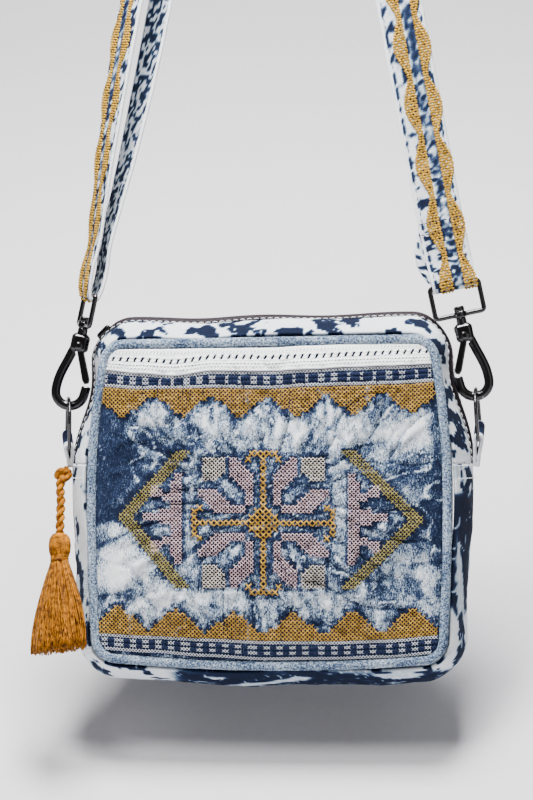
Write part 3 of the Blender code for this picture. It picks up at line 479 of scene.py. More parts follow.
def placed(piece, body="bag", replaces=()):
    """Tie a piece to its body, and hide the solids it stands for."""
    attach(piece, body)
    if replaces:
        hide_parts(*replaces)
    return piece


def applied(thing):
    """The object's mesh as its modifiers leave it."""
    made = thing.evaluated_get(bpy.context.evaluated_depsgraph_get())
    mesh = bpy.data.meshes.new_from_object(made)
    thing.modifiers.clear()
    thing.data = mesh
    return thing


def walled(sheet, thickness):
    """Give a sheet the thickness of its cloth, half on each side."""
    wall = sheet.modifiers.new("wall", "SOLIDIFY")
    wall.thickness = thickness
    wall.offset = 0.0
    applied(sheet)
    turn_outward(sheet.data)
    return sheet


def cloth_piece(name, rows, washes, material, thickness):
    """Cloth wall through a grid of middle points, with one wash value for each point of denim."""
    columns = len(rows[0])
    bundle = Bundle()
    faces = []
    for row in range(len(rows) - 1):
        for column in range(columns - 1):
            here = row * columns + column
            faces.append((here, here + 1, here + columns + 1, here + columns))
    bundle.add([point for row in rows for point in row], faces, [wash for row in washes for wash in row])
    return walled(bundle.piece(name, material), thickness)


def welded(node):
    """Points and faces of a solid of the frame, in its place and with doubled points joined."""
    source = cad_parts[node]
    shell = bmesh.new()
    shell.from_mesh(source.data)
    shell.transform(source.matrix_world)
    bmesh.ops.remove_doubles(shell, verts=shell.verts, dist=1e-6)
    return shell


def refined(node, name, material, voxel, rounds):
    """Rounded fine copy of a solid of the frame, in the same place."""
    shell = welded(node)
    mesh = bpy.data.meshes.new(name)
    shell.to_mesh(mesh)
    shell.free()
    thing = linked(name, mesh)
    fine = thing.modifiers.new("fine", "REMESH")
    fine.mode = "VOXEL"
    fine.voxel_size = voxel
    swell = thing.modifiers.new("swell", "DISPLACE")
    swell.strength = voxel * 0.7
    swell.mid_level = 0.0
    soft = thing.modifiers.new("soft", "SMOOTH")
    soft.factor = 0.5
    soft.iterations = rounds
    applied(thing)
    thing.data.materials.clear()
    thing.data.materials.append(material)
    thing.data.shade_smooth()
    return thing


# Shape of the bag, as in the part

def shaped(point, depth):
    """A point of the flat outline moved to the bag's real shape, at a depth from its middle."""
    u = max(-1.1, min(1.1, point.x / HALF_WIDTH))
    v = max(-1.1, min(1.1, point.z / HALF_HEIGHT))
    narrowing = TOP_NARROWING * v * v if v > 0 else BOTTOM_NARROWING * v * v
    lift = TOP_LIFT * u * v if v > 0 else -BOTTOM_SAG * max(0.0, 1 - u * u) * -v
    return Vector((point.x - u * narrowing, depth, point.z + lift - BAG_DROP))


def bulge_at(depth):
    """How far the side band puffs out at a depth."""
    share = min(1.0, abs(depth) / SEAM_Y)
    return GUSSET_BULGE * (1 - share * share)


def dent_at(point, depth):
    """How far the side band is pressed in near a point of it."""
    total = 0.0
    for across, up, place, radius, share in DENTS:
        centre = Vector((across * HALF_WIDTH, place * SEAM_Y, up * HALF_HEIGHT))
        offset = Vector((point.x, depth, point.z)) - centre
        reach = radius * GUSSET_WIDTH
        total += share * GUSSET_BULGE * math.exp(-offset.length_squared / (2 * reach * reach))
    return total


def band_point(station, depth, inset):
    """Point of the side band at a station of the outline and a depth, an inset under its face."""
    base, outward = station
    out = bulge_at(depth) - dent_at(base + outward * bulge_at(depth), depth) - inset
    return shaped(base + outward * out, depth)


def line_stations(start, end, outward, spacing):
    """Stations along a straight stretch of the outline, without its end."""
    count = max(2, round((end - start).length / spacing))
    return [(start.lerp(end, step / count), outward) for step in range(count)]


def arc_stations(centre, first, spacing):
    """Stations round a corner of the outline, from its first angle on by a quarter turn."""
    count = max(4, round(math.pi / 2 * (PANEL_CORNER + GUSSET_BULGE * 0.5) / spacing))
    stations = []
    for step in range(count):
        angle = math.radians(first + 90 * step / count)
        outward = Vector((math.cos(angle), 0, math.sin(angle)))
        stations.append((centre + outward * PANEL_CORNER, outward))
    return stations


def outline(over, spacing):
    """Stations of the outline: over the top from the right side seam to the left, or back under."""
    turn = 1 if over else -1
    wide, tall = turn * (HALF_WIDTH - PANEL_CORNER), turn * (HALF_HEIGHT - PANEL_CORNER)
    side, top = turn * HALF_WIDTH, turn * HALF_HEIGHT
    outward, upward = Vector((turn, 0, 0)), Vector((0, 0, turn))
    first = 0 if over else 180
    end = Vector((-side, 0, SIDE_SEAM_HEIGHT))
    stations = line_stations(Vector((side, 0, SIDE_SEAM_HEIGHT)), Vector((side, 0, tall)), outward, spacing)
    stations += arc_stations(Vector((wide, 0, tall)), first, spacing)
    stations += line_stations(Vector((wide, 0, top)), Vector((-wide, 0, top)), upward, spacing)
    stations += arc_stations(Vector((-wide, 0, tall)), first + 90, spacing)
    stations += line_stations(Vector((-side, 0, tall)), end, -outward, spacing)
    stations.append((end, -outward))
    return stations


def panel_point(s, t, edge):
    """Place on a panel's flat outline for shares of its half sizes, drawn in at the round corners."""
    half_x = HALF_WIDTH - edge
    half_z = HALF_HEIGHT - edge
    radius = max(PANEL_CORNER - edge, 0.001)
    x = s * half_x
    z = t * half_z
    over_x = (abs(x) - (half_x - radius)) / radius
    over_z = (abs(z) - (half_z - radius)) / radius
    if over_x > 0 and over_z > 0:
        round_x = over_x * math.sqrt(1 - over_z * over_z / 2)
        round_z = over_z * math.sqrt(1 - over_x * over_x / 2)
        x = math.copysign(half_x - radius + radius * round_x, x)
        z = math.copysign(half_z - radius + radius * round_z, z)
    return Vector((x, 0, z))


# Node groups: effects that more than one material uses

def new_group(name, inputs, outputs):
    """Empty node group with named sockets, its input node and its output node."""
    group = bpy.data.node_groups.new(name, "ShaderNodeTree")
    for label, kind, value in inputs:
        socket = group.interface.new_socket(name=label, in_out="INPUT", socket_type=kind)
        socket.default_value = value
    for label, kind in outputs:
        group.interface.new_socket(name=label, in_out="OUTPUT", socket_type=kind)
    return group, group.nodes.new("NodeGroupInput"), group.nodes.new("NodeGroupOutput")


def fill(tree, socket, value):
    """Give a socket a plain number, or link it to another node."""
    if isinstance(value, (int, float)):
        socket.default_value = value
    else:
        tree.links.new(value, socket)


def set_inputs(node, **values):
    """Plain values of a node's inputs; Detail_Scale stands for the input Detail Scale."""
    for name, value in values.items():
        node.inputs[name.replace("_", " ")].default_value = value


def math_node(tree, operation, first, second):
    """One sum on two numbers or outputs."""
    node = tree.nodes.new("ShaderNodeMath")
    node.operation = operation
    fill(tree, node.inputs[0], first)
    fill(tree, node.inputs[1], second)
    return node.outputs[0]


def swing(tree, value, amount):
    """A value that lies round a half, turned into one round zero and made larger or smaller."""
    return math_node(tree, "MULTIPLY", math_node(tree, "SUBTRACT", value, 0.5), amount)


def place_node(tree):
    """Place on the bag, in metres."""
    return tree.nodes.new("ShaderNodeTexCoord").outputs["Object"]


def noise_node(tree, place, scale, detail, roughness=0.5):
    """Cloudy pattern."""
    node = tree.nodes.new("ShaderNodeTexNoise")
    tree.links.new(place, node.inputs["Vector"])
    fill(tree, node.inputs["Scale"], scale)
    set_inputs(node, Detail=detail, Roughness=roughness)
    return node.outputs["Fac"]


def wave_node(tree, place, scale, distortion, detail, detail_scale):
    """Slanting bands."""
    node = tree.nodes.new("ShaderNodeTexWave")
    node.bands_direction = "DIAGONAL"
    tree.links.new(place, node.inputs["Vector"])
    fill(tree, node.inputs["Scale"], scale)
    set_inputs(node, Distortion=distortion, Detail=detail, Detail_Scale=detail_scale)
    return node.outputs["Fac"]


def ramp_node(tree, value, stops):
    """Colour for a value, by places and colours of a ramp."""
    node = tree.nodes.new("ShaderNodeValToRGB")
    ramp = node.color_ramp
    while len(ramp.elements) < len(stops):
        ramp.elements.new(0.5)
    for element, (place, colour) in zip(ramp.elements, stops):
        element.position = place
        element.color = (*colour, 1.0)
    tree.links.new(value, node.inputs["Fac"])
    return node.outputs["Color"]


def make_acid_wash():
    """Indigo washed out in blotches and specks: the wash value sets how much is left."""
    group, entry, leave = new_group(
        "Acid wash",
        (("Wash", "NodeSocketFloat", 0.5), ("Specks", "NodeSocketFloat", 0.5),
         ("Blotches", "NodeSocketFloat", 0.3), ("Streaks", "NodeSocketFloat", 0.2),
         ("Speck Scale", "NodeSocketFloat", 620.0)),
        (("Color", "NodeSocketColor"), ("Height", "NodeSocketFloat")))
    place = place_node(group)
    stretched = group.nodes.new("ShaderNodeMapping")
    set_inputs(stretched, Scale=(2400.0, 2400.0, 420.0))
    group.links.new(place, stretched.inputs["Vector"])
    fine = noise_node(group, place, entry.outputs["Speck Scale"], 3.0, 0.75)
    coarse = noise_node(group, place, 95.0, 4.0, 0.6)
    yarns = noise_node(group, stretched.outputs["Vector"], 1.0, 2.0, 0.6)
    total = entry.outputs["Wash"]
    for pattern, amount in ((fine, "Specks"), (coarse, "Blotches"), (yarns, "Streaks")):
        total = math_node(group, "ADD", total, swing(group, pattern, entry.outputs[amount]))
    colour = ramp_node(group, total, (
        (0.0, (0.004, 0.008, 0.024)),
        (0.28, (0.010, 0.020, 0.058)),
        (0.44, (0.036, 0.062, 0.125)),
        (0.58, (0.18, 0.25, 0.345)),
        (0.78, (0.54, 0.62, 0.70)),
        (1.0, (0.86, 0.88, 0.90))))
    group.links.new(colour, leave.inputs["Color"])
    group.links.new(fine, leave.inputs["Height"])
    return group


def make_twill():
    """Slanting ribs of denim, broken up along the yarns."""
    group, entry, leave = new_group(
        "Twill weave", (("Rib Scale", "NodeSocketFloat", 640.0),), (("Height", "NodeSocketFloat"),))
    place = place_node(group)
    ribs = wave_node(group, place, entry.outputs["Rib Scale"], 1.2, 1.0, 3.0)
    yarns = math_node(group, "MULTIPLY", noise_node(group, place, 2600.0, 1.0), 0.6)
    group.links.new(math_node(group, "ADD", ribs, yarns), leave.inputs["Height"])
    return group


def make_twist():
    """Fine plies of a twisted thread, and how its colour varies."""
    group, entry, leave = new_group(
        "Thread twist", (("Ply Scale", "NodeSocketFloat", 900.0), ("Variation", "NodeSocketFloat", 0.3)),
        (("Height", "NodeSocketFloat"), ("Shade", "NodeSocketFloat")))
    place = place_node(group)
    plies = wave_node(group, place, entry.outputs["Ply Scale"], 2.0, 2.0, 1.0)
    uneven = swing(group, noise_node(group, place, 380.0, 3.0, 0.7), entry.outputs["Variation"])
    group.links.new(plies, leave.inputs["Height"])
    group.links.new(math_node(group, "ADD", uneven, 1.0), leave.inputs["Shade"])
    return group


def make_wear():
    """Rubbed edges and faint smudges of plated metal."""
    group, entry, leave = new_group(
        "Edge wear", (("Edge", "NodeSocketFloat", 0.5), ("Smudge Scale", "NodeSocketFloat", 260.0)),
        (("Mask", "NodeSocketFloat"), ("Smudge", "NodeSocketFloat")))
    pointed = group.nodes.new("ShaderNodeNewGeometry").outputs["Pointiness"]
    smudge = noise_node(group, place_node(group), entry.outputs["Smudge Scale"], 4.0, 0.6)
    rubbed = math_node(group, "MAXIMUM", swing(group, pointed, 9.0), 0.0)
    mask = math_node(group, "MINIMUM", math_node(group, "MULTIPLY", rubbed, entry.outputs["Edge"]), 1.0)
    group.links.new(mask, leave.inputs["Mask"])
    group.links.new(smudge, leave.inputs["Smudge"])
    return group


ACID_WASH = make_acid_wash()
TWILL = make_twill()
TWIST = make_twist()
WEAR = make_wear()


# Materials

def start_material(name, roughness, metallic=0.0, gloss=0.25):
    """New material with a Principled shader: the material, its node tree and the shader."""
    material = bpy.data.materials.new(name)
    material.use_nodes = True
    shader = material.node_tree.nodes["Principled BSDF"]
    set_inputs(shader, Roughness=roughness, Metallic=metallic, Specular_IOR_Level=gloss)
    return material, material.node_tree, shader


def place_group(tree, group, **values):
    """Node of a group in a material, with its own values."""
    node = tree.nodes.new("ShaderNodeGroup")
    node.node_tree = group
    set_inputs(node, **values)
    return node


def add_bump(tree, shader, height, distance, strength):
    """Fine relief on the shader's normal."""
    bump = tree.nodes.new("ShaderNodeBump")
    set_inputs(bump, Distance=distance, Strength=strength)
    tree.links.new(height, bump.inputs["Height"])
    tree.links.new(bump.outputs["Normal"], shader.inputs["Normal"])


def denim(name, specks, blotches, speck_scale=620.0, streaks=0.2):
    """Washed denim whose indigo follows the mesh's wash value."""
    material, tree, shader = start_material(name, 0.9, gloss=0.12)
    wash = place_group(
        tree, ACID_WASH, Specks=specks, Blotches=blotches, Streaks=streaks, Speck_Scale=speck_scale)
    level = tree.nodes.new("ShaderNodeAttribute")
    level.attribute_name = "wash"
    tree.links.new(level.outputs["Fac"], wash.inputs["Wash"])
    tree.links.new(wash.outputs["Color"], shader.inputs["Base Color"])
    weave = place_group(tree, TWILL)
    height = math_node(tree, "ADD", weave.outputs["Height"], wash.outputs["Height"])
    add_bump(tree, shader, height, 0.0004, 1.0)
    return material


def thread_material(name, colour, deep, variation=0.5, roughness=0.62, gloss=0.08):
    """Twisted cotton: its colour swings between a light and a deep tone."""
    material, tree, shader = start_material(name, roughness, gloss=gloss)
    twist = place_group(tree, TWIST, Variation=variation)
    shade = math_node(tree, "SUBTRACT", twist.outputs["Shade"], 0.5)
    tree.links.new(ramp_node(tree, shade, ((0.25, deep), (0.75, colour))), shader.inputs["Base Color"])
    add_bump(tree, shader, twist.outputs["Height"], 0.00012, 0.8)
    return material


def plated_metal(name, base, rubbed, roughness):
    """Dark plate that is rubbed lighter on its edges and a little smudged."""
    material, tree, shader = start_material(name, roughness, metallic=1.0, gloss=0.5)
    wear = place_group(tree, WEAR)
    mix = tree.nodes.new("ShaderNodeMix")
    mix.data_type = "RGBA"
    set_inputs(mix, A=(*base, 1.0), B=(*rubbed, 1.0))
    tree.links.new(wear.outputs["Mask"], mix.inputs["Factor"])
    tree.links.new(mix.outputs["Result"], shader.inputs["Base Color"])
    smudge = swing(tree, wear.outputs["Smudge"], 0.16)
    tree.links.new(math_node(tree, "ADD", smudge, roughness), shader.inputs["Roughness"])
    return material


def cotton(name, colour, shade, scale, roughness=0.85):
    """Plain white or dark cotton with a fine weave."""
    material, tree, shader = start_material(name, roughness, gloss=0.15)
    weave = noise_node(tree, place_node(tree), scale, 3.0, 0.6)
    tree.links.new(ramp_node(tree, weave, ((0.35, shade), (0.6, colour))), shader.inputs["Base Color"])
    add_bump(tree, shader, weave, 0.0002, 0.7)
    return material


front_denim = denim("front denim", 1.45, 0.5, 1300.0, 1.35)
back_denim = denim("back denim", 0.8, 0.5)
band_denim = denim("band denim", 0.30, 0.12)
piping_denim = denim("piping denim", 1.5, 0.25, 950.0)
strap_denim = denim("strap denim", 0.45, 0.15)
mustard_stitching = thread_material("mustard stitching", (0.62, 0.37, 0.055), (0.19, 0.10, 0.010), 1.3)
olive_stitching = thread_material("olive stitching", (0.54, 0.45, 0.13), (0.18, 0.15, 0.03), 1.0)
pink_stitching = thread_material("pink stitching", (0.82, 0.64, 0.64), (0.42, 0.26, 0.28), 1.0)
cream_stitching = thread_material("cream stitching", (0.78, 0.72, 0.60), (0.50, 0.44, 0.36), 0.9)
white_stitching = thread_material("white stitching", (0.82, 0.83, 0.84), (0.52, 0.55, 0.60), 0.6)
navy_stitching = thread_material("navy stitching", (0.020, 0.030, 0.080), (0.008, 0.012, 0.032), 0.6)
# the tassel thread's wide swing to its deep tone is partly random tone and partly painted shade between the
# threads
tassel_thread = thread_material("tassel thread", (0.42, 0.15, 0.001), (0.08, 0.022, 0.0), 1.8, 0.5, 0.12)
lace_cotton = cotton("lace cotton", (0.88, 0.89, 0.90), (0.74, 0.76, 0.79), 1400.0)
tape_cotton = cotton("tape cotton", (0.085, 0.075, 0.10), (0.03, 0.028, 0.04), 1800.0)
coil_plastic = cotton("coil", (0.022, 0.015, 0.020), (0.008, 0.005, 0.007), 900.0, 0.42)
gunmetal = plated_metal("gunmetal", (0.035, 0.034, 0.036), (0.30, 0.29, 0.29), 0.20)


# Camera

def make_camera():
    """The photograph's view, from far enough to keep its flat perspective."""
    turn = math.radians(CAMERA_TURN)
    data = bpy.data.cameras.new("camera")
    data.sensor_fit = "VERTICAL"
    data.sensor_height = SENSOR
    data.lens = SENSOR * CAMERA_DISTANCE / VIEW_HEIGHT
    camera = linked("camera", data)
    camera.location = CAMERA_TARGET + Vector((math.sin(turn), -math.cos(turn), 0)) * CAMERA_DISTANCE
    camera.rotation_euler = (CAMERA_TARGET - camera.location).to_track_quat("-Z", "Y").to_euler()
    bpy.context.scene.camera = camera


# Tassel: twisted cord, its knot, and the tassel of loose threads

def make_cord():
    """Two plies that turn round the route, each with strands laid the other way."""
    route = smooth_curve(CORD_POINTS, 16)
    lengths = [0.0]
    for before, after in zip(route, route[1:]):
        lengths.append(lengths[-1] + (after - before).length)
    depth = Vector((0, 1, 0))
    bundle = Bundle()
    for start in (0.0, math.pi):
        path = []
        for point, along, length in zip(route, directions_along(route), lengths):
            first = along.cross(depth).normalized()
            other = along.cross(first)
            angle = start + 2 * math.pi * length / CORD_TWIST
            path.append(point + (first * math.cos(angle) + other * math.sin(angle)) * PLY_REACH)
        bundle.tube(path, PLY_RADIUS, 10)
        for strand in range(PLY_STRANDS):
            fine = []
            for point, middle, length in zip(path, route, lengths):
                outward = (point - middle).normalized()
                side = outward.cross(outward.cross(depth).normalized())
                turn = 2 * math.pi * (strand / PLY_STRANDS - length / STRAND_TWIST)
                fine.append(point + (outward * math.cos(turn) + side * math.sin(turn)) * (PLY_RADIUS * 0.86))
            bundle.tube(fine, PLY_RADIUS * 0.24, 4)
    cord = bundle.piece("tassel_twisted_cord", tassel_thread)
    return placed(cord, replaces=("tassel_cord",)), route


def make_knot(place, along):
    """Overhand knot: one strand that passes through its own loop, drawn tight."""
    side = along.cross(Vector((0, 1, 0))).normalized()
    other = along.cross(side)
    path = []
    for angle in round_angles(72):
        first = math.sin(angle) + 1.75 * math.sin(2 * angle)
        second = math.cos(angle) - 1.75 * math.cos(2 * angle)
        third = -math.sin(3 * angle)
        path.append(place + (side * first + other * second) * KNOT_REACH + along * (third * KNOT_DEPTH))
    bundle = Bundle()
    bundle.tube(path, KNOT_STRAND, 10, ring=True)
    knot = bundle.piece("tassel_overhand_knot", tassel_thread)
    return placed(knot, replaces=("tassel_knot",))


def make_tassel(top, hang):
    """Head of threads laid over, bound neck and a skirt of loose threads."""
    turn = Vector((math.cos(math.radians(TASSEL_TURN)), math.sin(math.radians(TASSEL_TURN)), 0))
    across = (turn - hang * turn.dot(hang)).normalized()
    other = hang.cross(across)
    bundle = Bundle()

    def place(down, angle, wide, deep):
        return top + hang * down + across * (wide * math.cos(angle)) + other * (deep * math.sin(angle))

    core = []
    for share, size in TASSEL_PROFILE:
        radius = TASSEL_HEAD_RADIUS * size * 0.93
        core.append([place(share * TASSEL_HEAD_LENGTH, angle, radius, radius) for angle in round_angles(16)])
    for share in (0.2, 0.5, 0.8, 0.97):
        wide = TASSEL_SKIRT_WIDTH / 2 * (0.25 + 0.62 * share)
        deep = TASSEL_SKIRT_DEPTH / 2 * (0.5 + 0.3 * share)
        down = TASSEL_HEAD_LENGTH + share * TASSEL_SKIRT_LENGTH * 0.97
        core.append([place(down, angle, wide, deep) for angle in round_angles(16)])
    bundle.sweep(core)
    for index in range(TASSEL_HEAD_THREADS):
        angle = 2 * math.pi * (index + chance.uniform(-0.2, 0.2)) / TASSEL_HEAD_THREADS
        path = []
        for share, size in TASSEL_PROFILE:
            radius = TASSEL_HEAD_RADIUS * size
            path.append(place(share * TASSEL_HEAD_LENGTH, angle + 0.10 * share, radius, radius))
        bundle.tube(path, TASSEL_HEAD_THREAD, 4)
    for turn_index in range(TASSEL_BINDING_TURNS):
        down = TASSEL_HEAD_LENGTH * 0.90 + turn_index * TASSEL_BINDING_PITCH
        ring = [place(down + 0.0006 * math.sin(angle + turn_index), angle, TASSEL_NECK, TASSEL_NECK)
                for angle in round_angles(28)]
        bundle.tube(ring, TASSEL_BINDING, 6, ring=True)
    # the binding's loose turn, on the tassel's face
    loose = []
    for angle in round_angles(20):
        down = TASSEL_HEAD_LENGTH * 0.98 + 0.0022 * math.sin(angle)
        loose.append(place(down, -1.9 + 0.42 * math.cos(angle), TASSEL_LOOSE_TURN, TASSEL_LOOSE_TURN))
    bundle.tube(loose, 0.0007, 6, ring=True)
    for index in range(TASSEL_THREADS):
        angle = 2 * math.pi * chance.random()
        depth = chance.random() ** 0.35
        reach = TASSEL_SKIRT_LENGTH * chance.uniform(0.955, 1.0)
        sway = chance.uniform(-1, 1) * TASSEL_SWAY
        curl = chance.uniform(0, 6.28)
        path = []
        for step in range(13):
            share = step / 12
            opening = 1 - (1 - share) ** 1.7
            wide = TASSEL_SKIRT_START + (TASSEL_SKIRT_WIDTH / 2 - TASSEL_SKIRT_START) * opening
            deep = TASSEL_SKIRT_START + (TASSEL_SKIRT_DEPTH / 2 - TASSEL_SKIRT_START) * opening
            drift = sway * math.sin(curl + 5.5 * share) * share
            down = TASSEL_HEAD_LENGTH * 0.93 + reach * share
            point = place(down, angle + 2.2 * drift / 0.006, wide * depth, deep * depth)
            path.append(point + across * drift + other * drift * 0.6)
        bundle.tube(path, chance.uniform(*TASSEL_THREAD_RADII), 3)
    return placed(bundle.piece("tassel_threads", tassel_thread), replaces=("tassel",))


# Bag body

def crease_height(s, t):
    """Height of the creases at a share of the half sizes, 1 for a full crease."""
    total = 0.0
    for s0, t0, s1, t1, width, height in CREASES:
        run_s, run_t = s1 - s0, t1 - t0
        share = ((s - s0) * run_s + (t - t0) * run_t) / (run_s * run_s + run_t * run_t)
        share = max(0.0, min(1.0, share))
        away = math.hypot(s - s0 - share * run_s, t - t0 - share * run_t)
        if away < width * 4:
            swell = math.sin(math.pi * (0.12 + 0.76 * share))
            total += height * swell * math.exp(-(away / width) ** 2)
    return total


def patch_wash_and_shade(s, t):
    """Wash value that the patches give at a share of the half sizes, with a painted shadow line along the
    right edge.
    """
    level = FRONT_WASH
    for across, up, wide, tall, amount in WASH_AND_SHADE_PATCHES:
        level += amount * math.exp(-((s - across) / wide) ** 2 / 2 - ((t - up) / tall) ** 2 / 2)
    return level


def sewn_squares(plan):
    """Squares of the front that lie under stitches."""
    squares = set()
    for _, _, _, _, places in plan:
        for x, z, _ in places:
            squares.add((round(x / CELL), round(z / CELL)))
    return squares


def rays(s, t, fine, along, x=0, y=0):
    """Noise that runs outwards from the star, finer round it than along its rays."""
    around = math.atan2(t + 0.02, s)
    ray = Vector((math.cos(around), math.sin(around), 0))
    return noise.noise(ray * fine + Vector((x, y, math.hypot(s, t) * along)))


def front_relief(s, t, place):
    """Puckers, creases, crumples and folds of the front."""
    relief = crease_height(s, t) * CREASE_HEIGHT + CRUMPLE_HEIGHT * noise.fractal(place * 4.2, 0.7, 2.1, 4)
    for across, up, spread, depth in PUCKERS:
        away = ((s - across) ** 2 + (t - up) ** 2) / (2 * spread * spread)
        relief += PANEL_DOME * depth * math.exp(-away)
    fold = 1 - ease(abs(rays(s, t, 4.2, 2.1)), 0.0, 0.10)
    return relief - FOLD_DEPTH * fold * ease(math.hypot(s, t), 0.2, 0.5)


def front_wash_and_painted_shade(s, t, place, flat, squares):
    """Wash value of the front: patches, rays and veins, painted shade in the folds and under and round the
    stitches, painted highlight along the creases, and dark cloth under the bands.
    """
    wash = patch_wash_and_shade(s, t) + 0.20 * noise.noise(place * 2.7) + 0.18 * noise.noise(place * 7.3)
    # painted highlight along the raised creases and painted shade in the fold valleys, on the same lines as
    # the relief
    wash += 0.16 * crease_height(s, t) - 0.26 * (1 - ease(abs(rays(s, t, 4.2, 2.1)), 0.0, 0.07))
    wash += 0.34 * rays(s, t, 13.0, 4.0)
    wash += 0.30 * noise.noise(Vector((s * 34, t * 7, 2.0))) * ease(t, 0.1, 0.4)
    wash += 0.22 * noise.noise(Vector((s * 30, t * 9, 7.0))) * ease(-t, 0.3, 0.5)
    veins = abs(rays(s, t, 7.0, 3.0, x=3)) + abs(noise.noise(place * 11.0)) * 0.4
    wash -= 0.30 * (1 - ease(veins, 0.0, 0.11))
    if wash < 0.45:
        bright = abs(rays(s, t, 6.5, 6.0, x=9, y=2)) + 0.12 * abs(noise.noise(place * 15))
        wash += 0.75 * (1 - ease(bright, 0.0, 0.12))
    wash = max(wash, 0.14)
    # painted shade: the cloth under the stitches and round them is darkened where the threads would shade it
    square = (round(flat.x / CELL), round(flat.z / CELL))
    if square in squares:
        wash = min(wash - 0.5, 0.06)
    elif any((square[0] + i, square[1] + j) in squares for i in (-1, 0, 1) for j in (-1, 0, 1)):
        wash -= 0.13 + 0.35 * abs(noise.noise(place * 16))
    column = MIDDLE_COLUMN + flat.x / PIXEL
    row = MIDDLE_ROW + (CAMERA_TARGET.z - flat.z) / PIXEL
    if between(TOP_BANDS, column, 1) + 2 < row < between(TOP_BANDS, column, 4):
        wash = 0.12
    if between(BOTTOM_BANDS, column, 1) < row < between(BOTTOM_BANDS, column, 2):
        wash = 0.16
    return wash


def panel_rows(side, columns, rows, squares):
    """Middle points and wash values of a panel's cloth; the plain back has no sewn squares."""
    points = []
    washes = []
    for row in range(rows + 1):
        t = 2 * row / rows - 1
        line = []
        wash_line = []
        for column in range(columns + 1):
            s = 2 * column / columns - 1
            base = panel_point(s, t, 2 * PIPING_RADIUS + GAP)
            place = Vector((s * 3.1 + side * 7, t * 2.8, 0.4))
            if squares:
                relief = front_relief(s, t, place)
                wash = front_wash_and_painted_shade(s, t, place, shaped(base, 0), squares)
            else:
                relief = 0.0011 * noise.fractal(place * 1.5, 0.9, 2.1, 3)
                wash = 0.55 + 0.34 * noise.noise(place * 1.1) + 0.22 * noise.noise(place * 3.4)
            dome = PANEL_DOME * ((1 - s * s) * (1 - t * t)) ** 0.55
            dome += relief * min(1.0, 4 * (1 - abs(s)), 4 * (1 - abs(t)))
            line.append(shaped(base, side * (SEAM_Y + CLOTH / 2 - CLOTH_WALL / 2 + dome)))
            wash_line.append(wash)
        points.append(line)
        washes.append(wash_line)
    return points, washes


def make_panels(plan):
    """Front and back; the front is given back, to sew on."""
    points, washes = panel_rows(-1, 184, 164, sewn_squares(plan))
    front = cloth_piece("front_panel_denim", points, washes, front_denim, CLOTH_WALL)
    placed(front, replaces=("front_panel",))
    points, washes = panel_rows(1, 96, 84, None)
    back = cloth_piece("back_panel_denim", points, washes, back_denim, CLOTH_WALL)
    placed(back, replaces=("back_panel",))
    return front


def blotch(point, scale, stretch):
    """Soft noise for tie-dyed blotches, stretched or squeezed across the band."""
    return noise.fractal(Vector((point.x * scale, point.y * scale * stretch, point.z * scale)), 0.9, 2.0, 3)


def upper_wash(point):
    """White upper band with navy blotches."""
    spots = blotch(point + Vector((0.3, 0, 0)), 105.0, 0.7)
    veins = abs(noise.noise(point * 190))
    return 0.95 - 0.93 * ease(spots, 0.02, 0.14) * ease(veins, 0.0, 0.05)


def lower_wash(point):
    """White and navy lower band: navy up the right side and in long streaks underneath."""
    spots = blotch(point, 64.0, 1.5)
    streaks = noise.noise(Vector((point.x * 30, point.y * 120, point.z * 30 + 3)))
    navy = 0.0
    height = point.z + 0.007 * streaks
    if point.x > 0.096:
        navy = ease(height, -0.662, -0.657) * (1 - ease(height, -0.596, -0.590))
    under = (1 - ease(point.z, -0.6935, -0.6900)) * ease(point.x, -0.060, -0.045)
    navy = max(navy, under * ease(point.y, -0.0250, -0.0225))
    navy = max(navy, under * ease(-streaks, -0.35, 0.0) * 0.95)
    navy = max(navy, ease(spots, 0.05, 0.16))
    veins = abs(noise.noise(Vector((point.x * 70 + 5, point.y * 190, point.z * 70))))
    navy *= (0.25 + 0.75 * ease(veins, 0.01, 0.06)) * (1 - 0.8 * ease(streaks, 0.24, 0.36))
    return 0.95 - 0.93 * navy


def band_rows(stations, depths, wash, gathers, sink):
    """Middle points and wash values of a side band, gathered unevenly and sunk beside the zip."""
    points = []
    washes = []
    for station in stations:
        line = []
        for depth in depths:
            sunk = sink * (1 - ease(abs(depth), ZIP_SLOT / 2, ZIP_SINK_END))
            plain = band_point(station, depth, CLOTH_WALL / 2 + sunk)
            uneven = gathers * noise.fractal(plain * 46.0, 0.8, 2.0, 3)
            calm = min(1.0, (BAND_EDGE - abs(depth)) / 0.004, (abs(depth) - ZIP_SLOT / 2 + 0.001) / 0.003)
            line.append(plain + station[1] * uneven * max(0.15, calm))
        points.append(line)
        washes.append([wash(point) for point in line])
    return points, washes


def make_side_bands():
    """Upper bands on both sides of the zip and the lower band; their stations are given back."""
    top = outline(True, BAND_SPACING)
    under = outline(False, BAND_SPACING)
    slot = ZIP_SLOT / 2
    bands = []
    for side, name in ((-1, "front"), (1, "back")):
        depths = [side * (slot + (BAND_EDGE - slot) * step / 18) for step in range(19)]
        names = ("upper_band_" + name, "gusset_top_" + name)
        bands.append((*names, top, depths, upper_wash, UPPER_GATHERS, ZIP_SINK))
    depths = [BAND_EDGE * (2 * step / 36 - 1) for step in range(37)]
    bands.append(("lower_band", "gusset_lower", under, depths, lower_wash, LOWER_GATHERS, 0.0))
    for name, solid, stations, depths, wash, gathers, sink in bands:
        points, washes = band_rows(stations, depths, wash, gathers, sink)
        placed(cloth_piece(name, points, washes, band_denim, CLOTH_WALL), replaces=(solid,))
    return top, under


